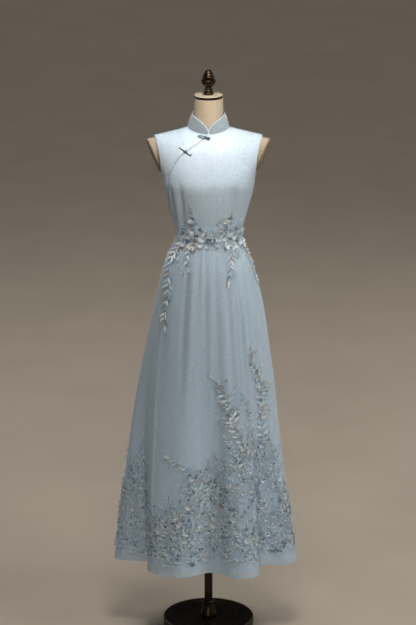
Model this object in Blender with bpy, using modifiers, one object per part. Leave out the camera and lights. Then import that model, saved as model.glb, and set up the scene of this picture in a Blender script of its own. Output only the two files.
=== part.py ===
"""A long sleeveless qipao on its limbless dress form and stand, each cut piece a solid of its own.

Metres, +Z up, origin at the middle of the stand's underside. The front is -Y and the wearer's left is +X.
The cloth is walls of its true thickness. Each panel is a grid of points on one dress surface, which the
tables BODICE, SKIRT and FOLDS give, and what is sewn on a panel is made from the same points, moved out.
"""
import math
from collections import namedtuple

import bmesh
import bpy
from mathutils import Vector

# ---------------------------------------------------------------- driving sizes of the dress
WAIST = 1.338            # height of the waist seam
BUST = 1.500             # height of the row under the bust points
CHEST = 1.520            # height where the chest starts to turn back to the shoulder
HEM = 0.232              # height of the skirt's lower edge
CLOTH = 0.0015           # wall of cloth
SEAM = 0.0003            # gap between pieces that are sewn together
NECK_HALF = 0.0665       # half the width of the neckline
NECK_FRONT = 0.052       # how far the neckline reaches forward
NECK_BACK = 0.054        # how far it reaches back
PIPING = 0.0014          # radius of the pipings and of the armhole bindings
COLLAR_WALL = 0.0018     # the stiffened stand collar
COLLAR_TOP_HALF = 0.0515
COLLAR_TOP_DEPTH = 0.0510
CORD = 0.0015            # radius of the cord of the knotted fasteners
LACE = 0.0010            # wall of the applied lace
HEM_ROLL = 0.0016        # radius of the rolled hem
GARLAND_TURNS = (-62, 84)                      # where the waist garland starts and ends, degrees round
GARLAND_LIFT = 0.0008    # it bridges the waist seam, a little off both panels

# ---------------------------------------------------------------- driving sizes of the form and stand
BASE_RADIUS, BASE_HEIGHT = 0.148, 0.035
POLE_RADIUS = 0.0133
FORM_BOTTOM = 0.985
NECK_TOP = 1.7807
CAP_RADIUS, CAP_HEIGHT = 0.0455, 0.0085
PLATE_TOP = Vector((0.1921, 0.0, 1.6495))      # highest and lowest point of an arm plate's inner face
PLATE_BOTTOM = Vector((0.1500, 0.0, 1.5425))
PLATE_HALF_DEPTH = 0.0350
PLATE_WALL = 0.004
PLATE_TURN = math.radians(12)                  # the plates face a little forward

Ring = namedtuple("Ring", "z half front back power")
BODICE = [
    Ring(1.338, 0.1045, 0.0800, 0.0860, 2.00),
    Ring(1.377, 0.1114, 0.0845, 0.0890, 2.05),
    Ring(1.403, 0.1193, 0.0905, 0.0925, 2.05),
    Ring(1.430, 0.1262, 0.0975, 0.0960, 2.10),
    Ring(1.456, 0.1338, 0.1040, 0.0990, 2.15),
    Ring(1.482, 0.1405, 0.1095, 0.1015, 2.25),
    Ring(1.500, 0.1440, 0.1132, 0.1030, 2.40),
    Ring(1.520, 0.1467, 0.1158, 0.1030, 2.50),
    Ring(1.533, 0.1482, 0.1162, 0.1030, 2.50),
    Ring(1.560, 0.1600, 0.1162, 0.1030, 2.40),
    Ring(1.585, 0.1720, 0.1162, 0.1030, 2.30),
    Ring(1.620, 0.1800, 0.1162, 0.1030, 2.30),
    Ring(1.720, 0.1840, 0.1162, 0.1030, 2.30),
]
Level = namedtuple("Level", "z left right front back")
SKIRT = [
    Level(0.232, 0.3046, 0.2864, 0.1820, 0.1960),
    Level(0.319, 0.2926, 0.2734, 0.1740, 0.1880),
    Level(0.431, 0.2816, 0.2584, 0.1670, 0.1800),
    Level(0.542, 0.2676, 0.2449, 0.1600, 0.1720),
    Level(0.653, 0.2546, 0.2324, 0.1520, 0.1640),
    Level(0.761, 0.2401, 0.2204, 0.1440, 0.1560),
    Level(0.870, 0.2231, 0.2089, 0.1360, 0.1480),
    Level(0.979, 0.2016, 0.1929, 0.1270, 0.1390),
    Level(1.086, 0.1781, 0.1759, 0.1180, 0.1300),
    Level(1.193, 0.1546, 0.1514, 0.1070, 0.1180),
    Level(1.246, 0.1401, 0.1379, 0.1000, 0.1100),
    Level(1.285, 0.1236, 0.1224, 0.0910, 0.1000),
    Level(1.311, 0.1105, 0.113, 0.0850, 0.0925),
    Level(1.338, 0.1045, 0.1045, 0.0800, 0.0860),
]
Fold = namedtuple("Fold", "hip hem radius")    # degrees from centre front at hip and at hem, radius at hem
FOLDS = [
    Fold(-180, -179, 0.172), Fold(-165, -166, 0.200), Fold(-153, -154, 0.226), Fold(-140, -141, 0.212),
    Fold(-130, -131, 0.196), Fold(-120, -118, 0.246), Fold(-112, -108, 0.262), Fold(-106, -103, 0.262),
    Fold(-101, -97, 0.291), Fold(-96, -92, 0.309), Fold(-91, -88.5, 0.288), Fold(-86, -86.5, 0.240),
    Fold(-81, -82, 0.197), Fold(-76, -72, 0.198), Fold(-70, -64, 0.222), Fold(-60, -55, 0.219),
    Fold(-46, -42, 0.202), Fold(-32, -30, 0.187), Fold(-20, -19, 0.162), Fold(-9, -9, 0.132),
    Fold(3, 3, 0.120), Fold(14, 15, 0.135), Fold(24, 24, 0.177), Fold(34, 32, 0.203),
    Fold(44, 41, 0.218), Fold(52, 49, 0.214), Fold(58, 58, 0.188), Fold(64, 70, 0.172),
    Fold(71, 75, 0.203), Fold(78, 78.5, 0.252), Fold(85, 84, 0.279), Fold(92, 91, 0.2875),
    Fold(100, 99, 0.274), Fold(108, 108, 0.238), Fold(117, 117, 0.236), Fold(126, 125, 0.262),
    Fold(136, 134, 0.240), Fold(147, 147, 0.196), Fold(158, 157, 0.214), Fold(169, 168, 0.206),
    Fold(180, 181, 0.172),
]
FOLD_TOP = 1.285         # the folds start here and are at their full depth at the hem
FOLD_GROWTH = 1.25       # above 1, they open faster towards the hem

Edge = namedtuple("Edge", "z x")
ARMHOLE = [Edge(1.533, 0.1482), Edge(1.560, 0.1475), Edge(1.590, 0.1485), Edge(1.622, 0.1535),
           Edge(1.6615, 0.1655)]
OPENING = [              # the curved front opening, from the wearer's right side seam to centre front
    Edge(1.400, -0.1186), Edge(1.440, -0.1230), Edge(1.475, -0.1248), Edge(1.510, -0.1255),
    Edge(1.543, -0.1235), Edge(1.574, -0.1120), Edge(1.607, -0.0910), Edge(1.634, -0.0600),
    Edge(1.655, -0.0260), Edge(1.665, -0.0070), Edge(1.690, -0.0040),
]
Crest = namedtuple("Crest", "x z")
SHOULDER = [Crest(0.0, 1.6900), Crest(0.0665, 1.6850), Crest(0.085, 1.6795), Crest(0.112, 1.6730),
            Crest(0.1655, 1.6615)]
BACK_NECK_RISE = 0.012   # inside the neckline the back surface rises this much above the front one
FRONT_TURN, BACK_TURN = 5.0, 2.9               # how square the chest and the upper back turn to the shoulder
FRONT_SLOPE = 0.373                            # and how far the chest slopes back on the way up,
SLOPE_EASE = 0.12                              # starting gently so that the bust stays round

CollarEdge = namedtuple("CollarEdge", "angle height")
COLLAR = [CollarEdge(0, 0.004), CollarEdge(3, 0.0100), CollarEdge(6, 0.0170), CollarEdge(10, 0.0225),
          CollarEdge(17, 0.0290), CollarEdge(30, 0.0358), CollarEdge(45, 0.0392), CollarEdge(90, 0.0428),
          CollarEdge(180, 0.0430)]
COLLAR_END = 2.0         # degrees from centre front to each end of the collar

# ---------------------------------------------------------------- grids
SKIRT_STEP = 5                                 # degrees between the skirt's columns
SKIRT_ROWS = [1.338, 1.305, 1.265, 1.210, 1.120, 1.000, 0.870, 0.740, 0.610, 0.480, 0.360, 0.268, 0.232]
SKIRT_PANELS = [("skirt_front", -75, 60), ("skirt_side_left", 60, 115), ("skirt_back_left", 115, 180),
                ("skirt_back_right", -180, -125), ("skirt_side_right", -125, -75)]
LOWER_ROWS = [0, 0.24, 0.42, 0.57, 0.73, 0.89, 1.0]          # waist to bust, in parts of that height
UPPER_ROWS = [1.131, 1.30, 1.47, 1.62, 1.76, 1.89, 2.0]      # bust to shoulder or neckline
NECK_COLUMN = NECK_HALF / ARMHOLE[-1].x        # the column that ends at the side of the neck
NECK_STEP = 10                                 # degrees between points of the neckline
NECK_POINTS = 360 // NECK_STEP


# ---------------------------------------------------------------- reading the tables
def read(table, key, value, at):
    """The table's column `value` where its column `key` is `at`, on a smooth curve with no overshoot."""
    keys = [getattr(row, key) for row in table]
    values = [getattr(row, value) for row in table]
    at = min(max(at, keys[0]), keys[-1])
    i = max(k for k in range(len(keys) - 1) if keys[k] <= at)
    slopes = [(values[k + 1] - values[k]) / (keys[k + 1] - keys[k]) for k in range(len(keys) - 1)]

    def tangent(k):
        if k == 0 or k == len(keys) - 1:
            return slopes[min(k, len(slopes) - 1)]
        before, after = slopes[k - 1], slopes[k]
        return 0.0 if before * after <= 0 else 2 * before * after / (before + after)

    span = keys[i + 1] - keys[i]
    t = (at - keys[i]) / span
    return (values[i] * (2 * t**3 - 3 * t**2 + 1) + tangent(i) * span * (t**3 - 2 * t**2 + t)
            + values[i + 1] * (3 * t**2 - 2 * t**3) + tangent(i + 1) * span * (t**3 - t**2))


SKIRT_UP = sorted(SKIRT)


# ---------------------------------------------------------------- the skirt's surface
def oval(angle, z):
    """Radius of the skirt without its folds, in the direction `angle` from centre front."""
    side = read(SKIRT_UP, "z", "right" if math.sin(angle) > 0 else "left", z)
    depth = read(SKIRT_UP, "z", "front" if math.cos(angle) > 0 else "back", z)
    return 1 / math.hypot(math.sin(angle) / side, math.cos(angle) / depth)


def skirt_point(hip, z):
    """The point at height z on the line of cloth that leaves the hip at `hip` degrees from centre front."""
    depth = max(0.0, (FOLD_TOP - z) / (FOLD_TOP - HEM)) ** FOLD_GROWTH
    at_hem = math.radians(read(FOLDS, "hip", "hem", hip))
    angle = math.radians(hip) * (1 - depth) + at_hem * depth
    fold = read(FOLDS, "hip", "radius", hip) / oval(at_hem, HEM)
    radius = oval(angle, z) * (1 + (fold - 1) * depth)
    return Vector((radius * math.sin(angle), -radius * math.cos(angle), z))


def wrap(degrees):
    return (degrees + 180) % 360 - 180


def skirt_pair(hip, z):
    """A point of the skirt and the outward normal there."""
    step, rise = 1.5, 0.004
    around = skirt_point(wrap(hip + step), z) - skirt_point(wrap(hip - step), z)
    up = skirt_point(hip, min(WAIST, z + rise)) - skirt_point(hip, max(HEM, z - rise))
    return skirt_point(hip, z), around.cross(up).normalized()


def skirt_grid(first, last, rows):
    """Rows of (point, normal) between two lines of cloth, which keep half a seam's gap at panel edges."""
    edges = {start for name, start, end in SKIRT_PANELS} | {end for name, start, end in SKIRT_PANELS}
    grid = []
    for z in rows:
        row = []
        for hip in range(first, last + 1, SKIRT_STEP):
            point, normal = skirt_pair(hip, z)
            along = Vector((0, 0, 1)).cross(normal).normalized()
            if hip == first and first in edges:
                point = point + along * SEAM / 2
            if hip == last and last in edges:
                point = point - along * SEAM / 2
            row.append((point, normal))
        grid.append(row)
    return grid


# ---------------------------------------------------------------- the bodice's surface
def crest(x, side):
    z = read(SHOULDER, "x", "z", abs(x))
    inside = max(0.0, 1 - (x / NECK_HALF) ** 2)
    return z + (BACK_NECK_RISE * inside if side > 0 else 0.0)


def bodice_depth(x, z, side):
    """How far the surface stands from the plane of the side seams: side is -1 in front, +1 behind."""
    half, power = read(BODICE, "z", "half", z), read(BODICE, "z", "power", z)
    depth = read(BODICE, "z", "front" if side < 0 else "back", z)
    across = max(0.0, 1 - (abs(x) / half) ** power) ** (1 / power)
    if z <= CHEST:
        return depth * across
    climb = min(1.0, (z - CHEST) / (crest(x, side) - CHEST))
    turn, slope = (FRONT_TURN, FRONT_SLOPE) if side < 0 else (BACK_TURN, 0.0)
    lean = slope * climb * climb / (climb + SLOPE_EASE)
    return depth * across * (1 - lean) * math.sqrt(max(0.0, 1 - climb ** turn))


def neckline_height(x, side):
    """Height at which the neckline's oval, seen from above, cuts the bodice."""
    reach = (NECK_FRONT if side < 0 else NECK_BACK) * math.sqrt(max(0.0, 1 - (x / NECK_HALF) ** 2))
    low, high = 1.55, crest(x, side)
    for _ in range(40):
        middle = (low + high) / 2
        low, high = (middle, high) if bodice_depth(x, middle, side) > reach else (low, middle)
    return low


def top_height(column, side):
    x = column * ARMHOLE[-1].x
    return neckline_height(x, side) if abs(x) < NECK_HALF - 1e-6 else crest(x, side)


def edge_half(z):
    """Half-width at the side seam, and above it at the armhole."""
    return read(BODICE, "z", "half", z) if z < ARMHOLE[0].z else read(ARMHOLE, "z", "x", z)


def bodice_point(column, row, side):
    """column runs -1 to 1 across; row runs 0 waist, 1 bust, 2 shoulder seam or neckline."""
    if row <= 1:
        z = WAIST + (BUST - WAIST) * row
    else:
        z = BUST + (top_height(column, side) - BUST) * math.sin(math.pi / 2 * min(1.0, row - 1))
    even = min(1.0, max(0.0, (z - 1.45) / 0.19))
    even = even * even * (3 - 2 * even)
    x = edge_half(z) * ((1 - even) * math.sin(math.pi / 2 * column) + even * column)
    return Vector((x, side * bodice_depth(x, z, side), z))


def bodice_pair(column, row, side):
    """A point of the bodice and its outward normal; on a side or shoulder seam the normal lies along y = 0."""
    step = 0.01
    here = bodice_point(column, row, side)
    across = bodice_point(min(1, column + step), row, side) - bodice_point(max(-1, column - step), row, side)
    up = bodice_point(column, min(2, row + step), side) - bodice_point(column, max(0, row - step), side)
    if row in (0, 1, 2) or abs(here.y) > 1e-5:
        normal = across.cross(up) * -side
    else:
        normal = Vector((here.x, 0, 0))
    if abs(here.y) < 1e-5:
        slope = up if abs(up.z) > abs(across.z) and row < 2 else across
        normal = Vector((slope.z, 0, -slope.x))
        normal *= 1 if (normal.x * here.x > 0 if row < 2 else normal.z > 0) else -1
    return here, normal.normalized()


def opening_column(row):
    """The column where the front opening crosses a row, or -1 below the opening's end."""
    def past(column):
        point = bodice_point(column, row, -1)
        return point.x - read(OPENING, "z", "x", point.z)

    if bodice_point(-1, row, -1).z <= OPENING[0].z:
        return -1.0
    low, high = -1.0, 0.0
    for _ in range(40):
        middle = (low + high) / 2
        low, high = (middle, high) if past(middle) < 0 else (low, middle)
    return low


def bodice_grid(rows, side, columns_at):
    """Rows of (point, normal), kept half a seam's gap from y = 0, from the waist and from the shoulder."""
    grid = []
    for row in rows:
        line = []
        for column in columns_at(row):
            point, normal = bodice_pair(column, row, side)
            point.y = side * max(SEAM / 2, side * point.y)
            point.z += SEAM / 2 if row == 0 else 0.0
            line.append((point, normal))
        grid.append(line)
    return grid


def spread(start, end, count):
    return [start + (end - start) * k / count for k in range(count + 1)]


# ---------------------------------------------------------------- building solids
def collection(name):
    made = bpy.data.collections.new(name)
    bpy.context.scene.collection.children.link(made)
    return made


def material(name, colour, roughness, metallic=0.0):
    made = bpy.data.materials.new(name)
    made.use_nodes = True
    shader = made.node_tree.nodes["Principled BSDF"]
    shader.inputs["Base Color"].default_value = (*colour, 1.0)
    shader.inputs["Roughness"].default_value = roughness
    shader.inputs["Metallic"].default_value = metallic
    return made


def add_object(name, data, finish):
    made = bpy.data.objects.new(name, data)
    data.materials.append(finish)
    PARTS.objects.link(made)
    return made


def wall(name, grid, low, high, finish, closed=False):
    """A wall between the grid moved along its normals by `low` and by `high`; closed joins its ends."""
    mesh = bmesh.new()
    layers = [[[mesh.verts.new(point + normal * lift) for point, normal in row] for row in grid]
              for lift in (low, high)]
    rows, columns = len(grid), len(grid[0])

    def quad(a, b, c, d):
        mesh.faces.new((a, b, c))
        mesh.faces.new((a, c, d))

    last = columns if closed else columns - 1
    inner, outer = layers
    for r in range(rows - 1):
        for c in range(last):
            n = (c + 1) % columns
            quad(outer[r][c], outer[r][n], outer[r + 1][n], outer[r + 1][c])
            mesh.faces.new((inner[r][c], inner[r + 1][n], inner[r][n]))
            mesh.faces.new((inner[r][c], inner[r + 1][c], inner[r + 1][n]))
    for c in range(last):
        n = (c + 1) % columns
        quad(inner[0][c], inner[0][n], outer[0][n], outer[0][c])
        quad(outer[-1][c], outer[-1][n], inner[-1][n], inner[-1][c])
    if not closed:
        for r in range(rows - 1):
            quad(outer[r][0], outer[r + 1][0], inner[r + 1][0], inner[r][0])
            quad(inner[r][-1], inner[r + 1][-1], outer[r + 1][-1], outer[r][-1])
    if mesh.calc_volume(signed=True) < 0:
        bmesh.ops.reverse_faces(mesh, faces=mesh.faces)
    data = bpy.data.meshes.new(name)
    mesh.to_mesh(data)
    mesh.free()
    return add_object(name, data, finish)


def tube(name, points, radius, finish, closed=False, sides=2):
    """A round cord along the points, as a bevelled curve with filled caps."""
    curve = bpy.data.curves.new(name, "CURVE")
    curve.dimensions = "3D"
    curve.bevel_depth = radius
    curve.bevel_resolution = sides
    curve.use_fill_caps = True
    spline = curve.splines.new("POLY")
    spline.points.add(len(points) - 1)
    for slot, point in zip(spline.points, points):
        slot.co = (*point, 1.0)
    spline.use_cyclic_u = closed
    return add_object(name, curve, finish)


def turned(name, profile, steps, finish, closed=False):
    """A turned piece: (radius, height) points down its outer side, spun with a Screw modifier."""
    mesh = bmesh.new()
    points = [mesh.verts.new((radius, 0, z)) for radius, z in profile]
    for first, second in zip(points, points[1:] + points[:1] if closed else points[1:]):
        mesh.edges.new((first, second))
    data = bpy.data.meshes.new(name)
    mesh.to_mesh(data)
    mesh.free()
    made = add_object(name, data, finish)
    screw = made.modifiers.new("Turn", "SCREW")
    screw.steps = screw.render_steps = steps
    screw.use_merge_vertices = True
    screw.merge_threshold = 0.0001
    return made


def loft(name, rings, group):
    """A closed solid through rings of equal count, as a helper for a Boolean union."""
    mesh = bmesh.new()
    loops = [[mesh.verts.new(point) for point in ring] for ring in rings]
    count = len(loops[0])
    for lower, upper in zip(loops, loops[1:]):
        for k in range(count):
            n = (k + 1) % count
            mesh.faces.new((lower[k], lower[n], upper[n], upper[k]))
    mesh.faces.new(loops[0][::-1])
    mesh.faces.new(loops[-1])
    if mesh.calc_volume(signed=True) < 0:
        bmesh.ops.reverse_faces(mesh, faces=mesh.faces)
    data = bpy.data.meshes.new(name)
    mesh.to_mesh(data)
    mesh.free()
    made = bpy.data.objects.new(name, data)
    group.objects.link(made)
    return made


# ---------------------------------------------------------------- stand and form
def stand():
    top = BASE_HEIGHT
    turned("base_plate", [(0, top - 0.001), (0.120, top - 0.001), (0.136, top), (0.1445, top),
                          (BASE_RADIUS, top - 0.003), (BASE_RADIUS, 0.004), (BASE_RADIUS - 0.003, 0),
                          (0, 0)], 56, BRONZE)
    bore, foot = POLE_RADIUS + SEAM, top + SEAM
    turned("pole_socket", [(bore, foot + 0.054), (0.0165, foot + 0.054), (0.0182, foot + 0.051),
                           (0.0182, foot + 0.044), (0.0168, foot + 0.042), (0.0175, foot + 0.036),
                           (0.0255, foot + 0.010), (0.0262, foot + 0.006), (0.0240, foot),
                           (bore, foot)], 28, BRONZE, closed=True)
    bpy.ops.mesh.primitive_cylinder_add(vertices=24, radius=POLE_RADIUS,
                                        depth=FORM_BOTTOM - top - 2 * SEAM,
                                        location=(0, 0, (FORM_BOTTOM + top) / 2))
    pole = bpy.context.object
    pole.name = pole.data.name = "pole"
    pole.data.materials.append(BRONZE)
    bpy.context.collection.objects.unlink(pole)
    PARTS.objects.link(pole)


FormRing = namedtuple("FormRing", "z half front back")
TORSO = [
    FormRing(0.985, 0.140, 0.096, 0.106), FormRing(1.000, 0.150, 0.103, 0.114),
    FormRing(1.060, 0.155, 0.107, 0.119), FormRing(1.120, 0.151, 0.104, 0.117),
    FormRing(1.190, 0.1430, 0.098, 0.109), FormRing(1.246, 0.1310, 0.092, 0.102),
    FormRing(1.285, 0.1140, 0.083, 0.092), FormRing(1.338, 0.0985, 0.0745, 0.0805),
    FormRing(1.403, 0.1130, 0.0845, 0.0870), FormRing(1.456, 0.1290, 0.098, 0.094),
    FormRing(1.500, 0.1380, 0.1050, 0.098), FormRing(1.541, 0.1415, 0.103, 0.097),
    FormRing(1.580, 0.1450, 0.094, 0.092), FormRing(1.620, 0.1400, 0.074, 0.078),
    FormRing(1.645, 0.1250, 0.054, 0.060), FormRing(1.660, 0.1000, 0.038, 0.044),
    FormRing(1.668, 0.0700, 0.024, 0.028),
]
NeckRing = namedtuple("NeckRing", "z radius")
NECK = [NeckRing(1.600, 0.068), NeckRing(1.640, 0.056), NeckRing(1.660, 0.0475), NeckRing(1.685, 0.0470),
        NeckRing(1.735, 0.0470), NeckRing(1.7807, 0.0462)]
STUMP_ROOT = Vector((0.105, 0.0, 1.606))       # where an arm stump starts, inside the torso
STUMP_ROOT_HALF = Vector((0.0, 0.0, 0.054))
STUMP_HALF_DEPTH = 0.0340
STUMP_RISE = 0.0026                            # the stump's top is rounded up by twice this on its way out


def oval_ring(centre, up, across, count=28):
    """Points round an oval with the half-axes `up` and `across`."""
    turns = [2 * math.pi * k / count for k in range(count)]
    return [centre + up * math.cos(turn) + across * math.sin(turn) for turn in turns]


def torso_ring(ring, count=36):
    points = []
    for k in range(count):
        turn = 2 * math.pi * k / count
        depth = ring.front if math.cos(turn) > 0 else ring.back
        points.append(Vector((ring.half * math.sin(turn), -depth * math.cos(turn), ring.z)))
    return points


def join(base, others):
    """Boolean unions of the helpers into the base, then the result as one plain mesh."""
    for other in others:
        union = base.modifiers.new("Join", "BOOLEAN")
        union.operation = "UNION"
        union.object = other
    evaluated = base.evaluated_get(bpy.context.evaluated_depsgraph_get())
    data = bpy.data.meshes.new_from_object(evaluated)
    for helper in (base, *others):
        bpy.data.objects.remove(helper)
    return data


def dress_form():
    torso = loft("torso", [torso_ring(ring) for ring in TORSO], CUTTERS)
    neck = loft("neck", [[Vector((ring.radius * math.sin(2 * math.pi * k / 36),
                                  -ring.radius * math.cos(2 * math.pi * k / 36), ring.z))
                          for k in range(36)] for ring in NECK], CUTTERS)
    stumps = []
    centre, half = (PLATE_TOP + PLATE_BOTTOM) / 2, (PLATE_TOP - PLATE_BOTTOM) / 2
    level, deep = Vector((half.z, 0, -half.x)).normalized(), Vector((0, 1, 0))
    outward = level * math.cos(PLATE_TURN) - deep * math.sin(PLATE_TURN)
    across = deep * math.cos(PLATE_TURN) + level * math.sin(PLATE_TURN)
    for name, way in (("right", -1), ("left", 1)):
        flip = Vector((way, 1, 1))
        root, end = (STUMP_ROOT, STUMP_ROOT_HALF, deep * STUMP_HALF_DEPTH), (
            centre - outward * SEAM, half, across * PLATE_HALF_DEPTH)
        rings = []
        for k in range(6):
            middle, up, deep_half = (near.lerp(far, k / 5) for near, far in zip(root, end))
            rise = Vector((0, 0, STUMP_RISE * k * (5 - k) / 12.5))
            rings.append(oval_ring((middle + rise) * flip, (up + rise) * flip, deep_half * flip))
        stumps.append(loft("stump", rings, CUTTERS))
        plate = [oval_ring((centre + outward * reach) * flip, half * scale * flip,
                           across * PLATE_HALF_DEPTH * scale * flip)
                 for reach, scale in ((0, 0.985), (0.001, 1.0), (PLATE_WALL - 0.0015, 1.0),
                                      (PLATE_WALL, 0.97))]
        made = loft("arm_plate_" + name, plate, PARTS)
        made.data.materials.append(WOOD)
    data = join(torso, [neck, *stumps])
    data.name = "form_torso"
    data.materials.clear()
    add_object("form_torso", data, LINEN)


def neck_fittings():
    base = NECK_TOP + SEAM
    top = base + CAP_HEIGHT
    turned("neck_cap", [(0, top + 0.0012), (0.036, top + 0.0008), (0.0432, top), (CAP_RADIUS, top - 0.002),
                        (CAP_RADIUS, base + 0.0035), (0.0444, base), (0, base)], 40, BRONZE)
    foot = top + 0.0012 + SEAM
    profile = [(0, 0.0790), (0.0050, 0.0780), (0.0099, 0.0750), (0.0148, 0.0690), (0.0176, 0.0635),
               (0.0178, 0.0605), (0.0203, 0.0575), (0.0189, 0.0540), (0.0165, 0.0525), (0.0174, 0.0510),
               (0.0220, 0.0480), (0.0242, 0.0460), (0.0226, 0.0400), (0.0198, 0.0337), (0.0154, 0.0275),
               (0.0102, 0.0215), (0.0154, 0.0155), (0.0123, 0.0115), (0.0180, 0.0055), (0.0154, 0), (0, 0)]
    turned("finial", [(radius, foot + z) for radius, z in profile], 24, BRONZE)


# ---------------------------------------------------------------- cloth
def bodice():
    rows = LOWER_ROWS + UPPER_ROWS
    gap = 0.6 * SEAM / ARMHOLE[-1].x           # half a seam in columns, a little more where it runs aslant
    centre = opening_column(2.0)
    left_half = [NECK_COLUMN * math.sin(math.radians(turn)) for turn in range(0, 91, NECK_STEP)]
    left_half += spread(NECK_COLUMN, 1.0, 6)[1:]
    right_half = [-column for column in reversed(left_half)]

    def front_columns(row):
        start = opening_column(row)
        parts = [(column - centre) / (1 - centre) for column in [centre, *left_half]]
        columns = [start + (1 - start) * part for part in parts]
        columns[0] += gap if start > -1 else 0
        return columns

    def underlap_columns(row):
        end = opening_column(row) - gap
        parts = [(column + 1) / (centre + 1) for column in [*right_half[:-1], centre] if column <= centre]
        return [-1 + (end + 1) * part for part in parts]

    def back_columns(row):
        return right_half + left_half[1:]

    wall("front_panel", bodice_grid(rows, -1, front_columns), -CLOTH, 0, SATIN)
    open_rows = [row for row in rows if opening_column(row) > -0.995]
    wall("underlap_panel", bodice_grid(open_rows, -1, underlap_columns), -CLOTH, 0, SATIN)
    wall("bodice_back", bodice_grid(rows, 1, back_columns), -CLOTH, 0, SATIN)


def past_edge(pairs, inset, closed=True):
    """The middles of a piping laid against an open edge, `inset` under the surface that the pairs give."""
    centres, last = [], len(pairs) - 1
    for k, (point, normal) in enumerate(pairs):
        before = pairs[k - 1 if closed else max(k - 1, 0)][0]
        after = pairs[(k + 1) % len(pairs) if closed else min(k + 1, last)][0]
        away = (after - before).cross(normal).normalized()
        centres.append(point - normal * inset + away * (PIPING + 2 * SEAM))
    return centres


def armhole_binding(name, way):
    up = [bodice_pair(way, row, -1) for row in UPPER_ROWS]
    down = [bodice_pair(way, row, 1) for row in reversed(UPPER_ROWS)]
    loop = up + down[1:-1]
    if way < 0:
        loop.reverse()
    tube(name, past_edge(loop, CLOTH / 2), PIPING, PIPING_SATIN, closed=True, sides=1)


def neckline():
    """(point, normal) round the neckline from centre front towards the wearer's left."""
    pairs = []
    for k in range(NECK_POINTS):
        turn = 2 * math.pi * k / NECK_POINTS
        side = -1 if math.cos(turn) > -1e-9 else 1
        x = NECK_HALF * math.sin(turn)
        pairs.append(bodice_pair(x / ARMHOLE[-1].x, 2.0, side))
    return pairs


def collar():
    seam = past_edge(neckline()[::-1], CLOTH / 2)[::-1]
    tube("neckline_piping", seam, PIPING, PIPING_SATIN, closed=True, sides=0)
    angles = [COLLAR_END, *[360 * k / NECK_POINTS for k in range(1, NECK_POINTS)], 360 - COLLAR_END]
    foot, crown = [], []
    for angle in angles:
        turn = math.radians(angle)
        place = angle / 360 * NECK_POINTS
        k, part = int(place) % NECK_POINTS, place % 1
        base = seam[k].lerp(seam[(k + 1) % NECK_POINTS], part) + Vector((0, 0, PIPING + 1.5 * SEAM))
        height = read(COLLAR, "angle", "height", min(angle, 360 - angle))
        lean = height / COLLAR[-2].height
        upper = Vector((COLLAR_TOP_HALF * math.sin(turn), -COLLAR_TOP_DEPTH * math.cos(turn), 0))
        top = base.lerp(upper, lean)
        foot.append(base)
        crown.append(Vector((top.x, top.y, base.z + height)))
    rows = []
    for part in spread(0, 1, 3):
        line = [low.lerp(high, part) for low, high in zip(foot, crown)]
        pairs = []
        for k, point in enumerate(line):
            along = line[min(k + 1, len(line) - 1)] - line[max(k - 1, 0)]
            pairs.append((point, along.cross(crown[k] - foot[k]).normalized()))
        rows.append(pairs)
    wall("collar", rows, -COLLAR_WALL / 2, COLLAR_WALL / 2, SATIN)
    tube("collar_piping", past_edge(rows[-1][::-1], 0, closed=False), PIPING, PIPING_SATIN, sides=0)


def skirt():
    for name, first, last in SKIRT_PANELS:
        rows = [WAIST - SEAM / 2, *SKIRT_ROWS[1:-1], HEM + 2 * HEM_ROLL + SEAM]
        wall(name, skirt_grid(first, last, rows), -CLOTH, 0, SATIN)
    ring = [skirt_pair(wrap(k * SKIRT_STEP), HEM + HEM_ROLL) for k in range(360 // SKIRT_STEP)]
    tube("hem_roll", [point - normal * CLOTH / 2 for point, normal in ring], HEM_ROLL, HEM_SATIN,
         closed=True, sides=0)


# ---------------------------------------------------------------- what is sewn on
def lace(name, first, last, top, bottom):
    """Lace on the skirt: the panel's own points between two lines of cloth and two of its rows."""
    rows = [z for z in SKIRT_ROWS if bottom <= z <= top]
    wall(name, skirt_grid(first, last, rows), SEAM, SEAM + LACE, LACE_WHITE)


def applied_lace():
    lace("spray_right", -60, -35, 1.265, 1.000)
    lace("spray_left", 20, 50, 1.265, 1.120)
    lace("branch_tall", 0, 20, 0.870, 0.610)
    lace("branch_edge", 25, 50, 0.870, 0.610)
    lace("hem_lace_front", -70, 55, 0.480, 0.268)
    lace("hem_lace_side_left", 65, 110, 0.480, 0.268)
    lace("hem_lace_back_left", 120, 175, 0.480, 0.268)
    lace("hem_lace_back_right", -175, -130, 0.480, 0.268)
    lace("hem_lace_side_right", -120, -80, 0.480, 0.268)
    turns = spread(*GARLAND_TURNS, 26)
    waist = BODICE[0]
    hips = [math.degrees(math.atan2(waist.half * math.sin(math.radians(turn)),
                                    waist.front * math.cos(math.radians(turn)))) for turn in turns]
    rows = [[skirt_pair(hip, z) for hip in hips] for z in (SKIRT_ROWS[1], WAIST - 0.002)]
    rows += [[bodice_pair(turn / 90, row, -1) for turn in turns] for row in (0.012, LOWER_ROWS[1])]
    wall("garland_waist", rows, GARLAND_LIFT, GARLAND_LIFT + LACE, LACE_WHITE)


def on_front(x, z):
    """The point of the front at (x, z), with its normal."""
    point = Vector((x, -bodice_depth(x, z, -1), z))
    step = 0.002
    across = Vector((2 * step, bodice_depth(x - step, z, -1) - bodice_depth(x + step, z, -1), 0))
    up = Vector((0, bodice_depth(x, z - step, -1) - bodice_depth(x, z + step, -1), 2 * step))
    return point, across.cross(up).normalized()


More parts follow.
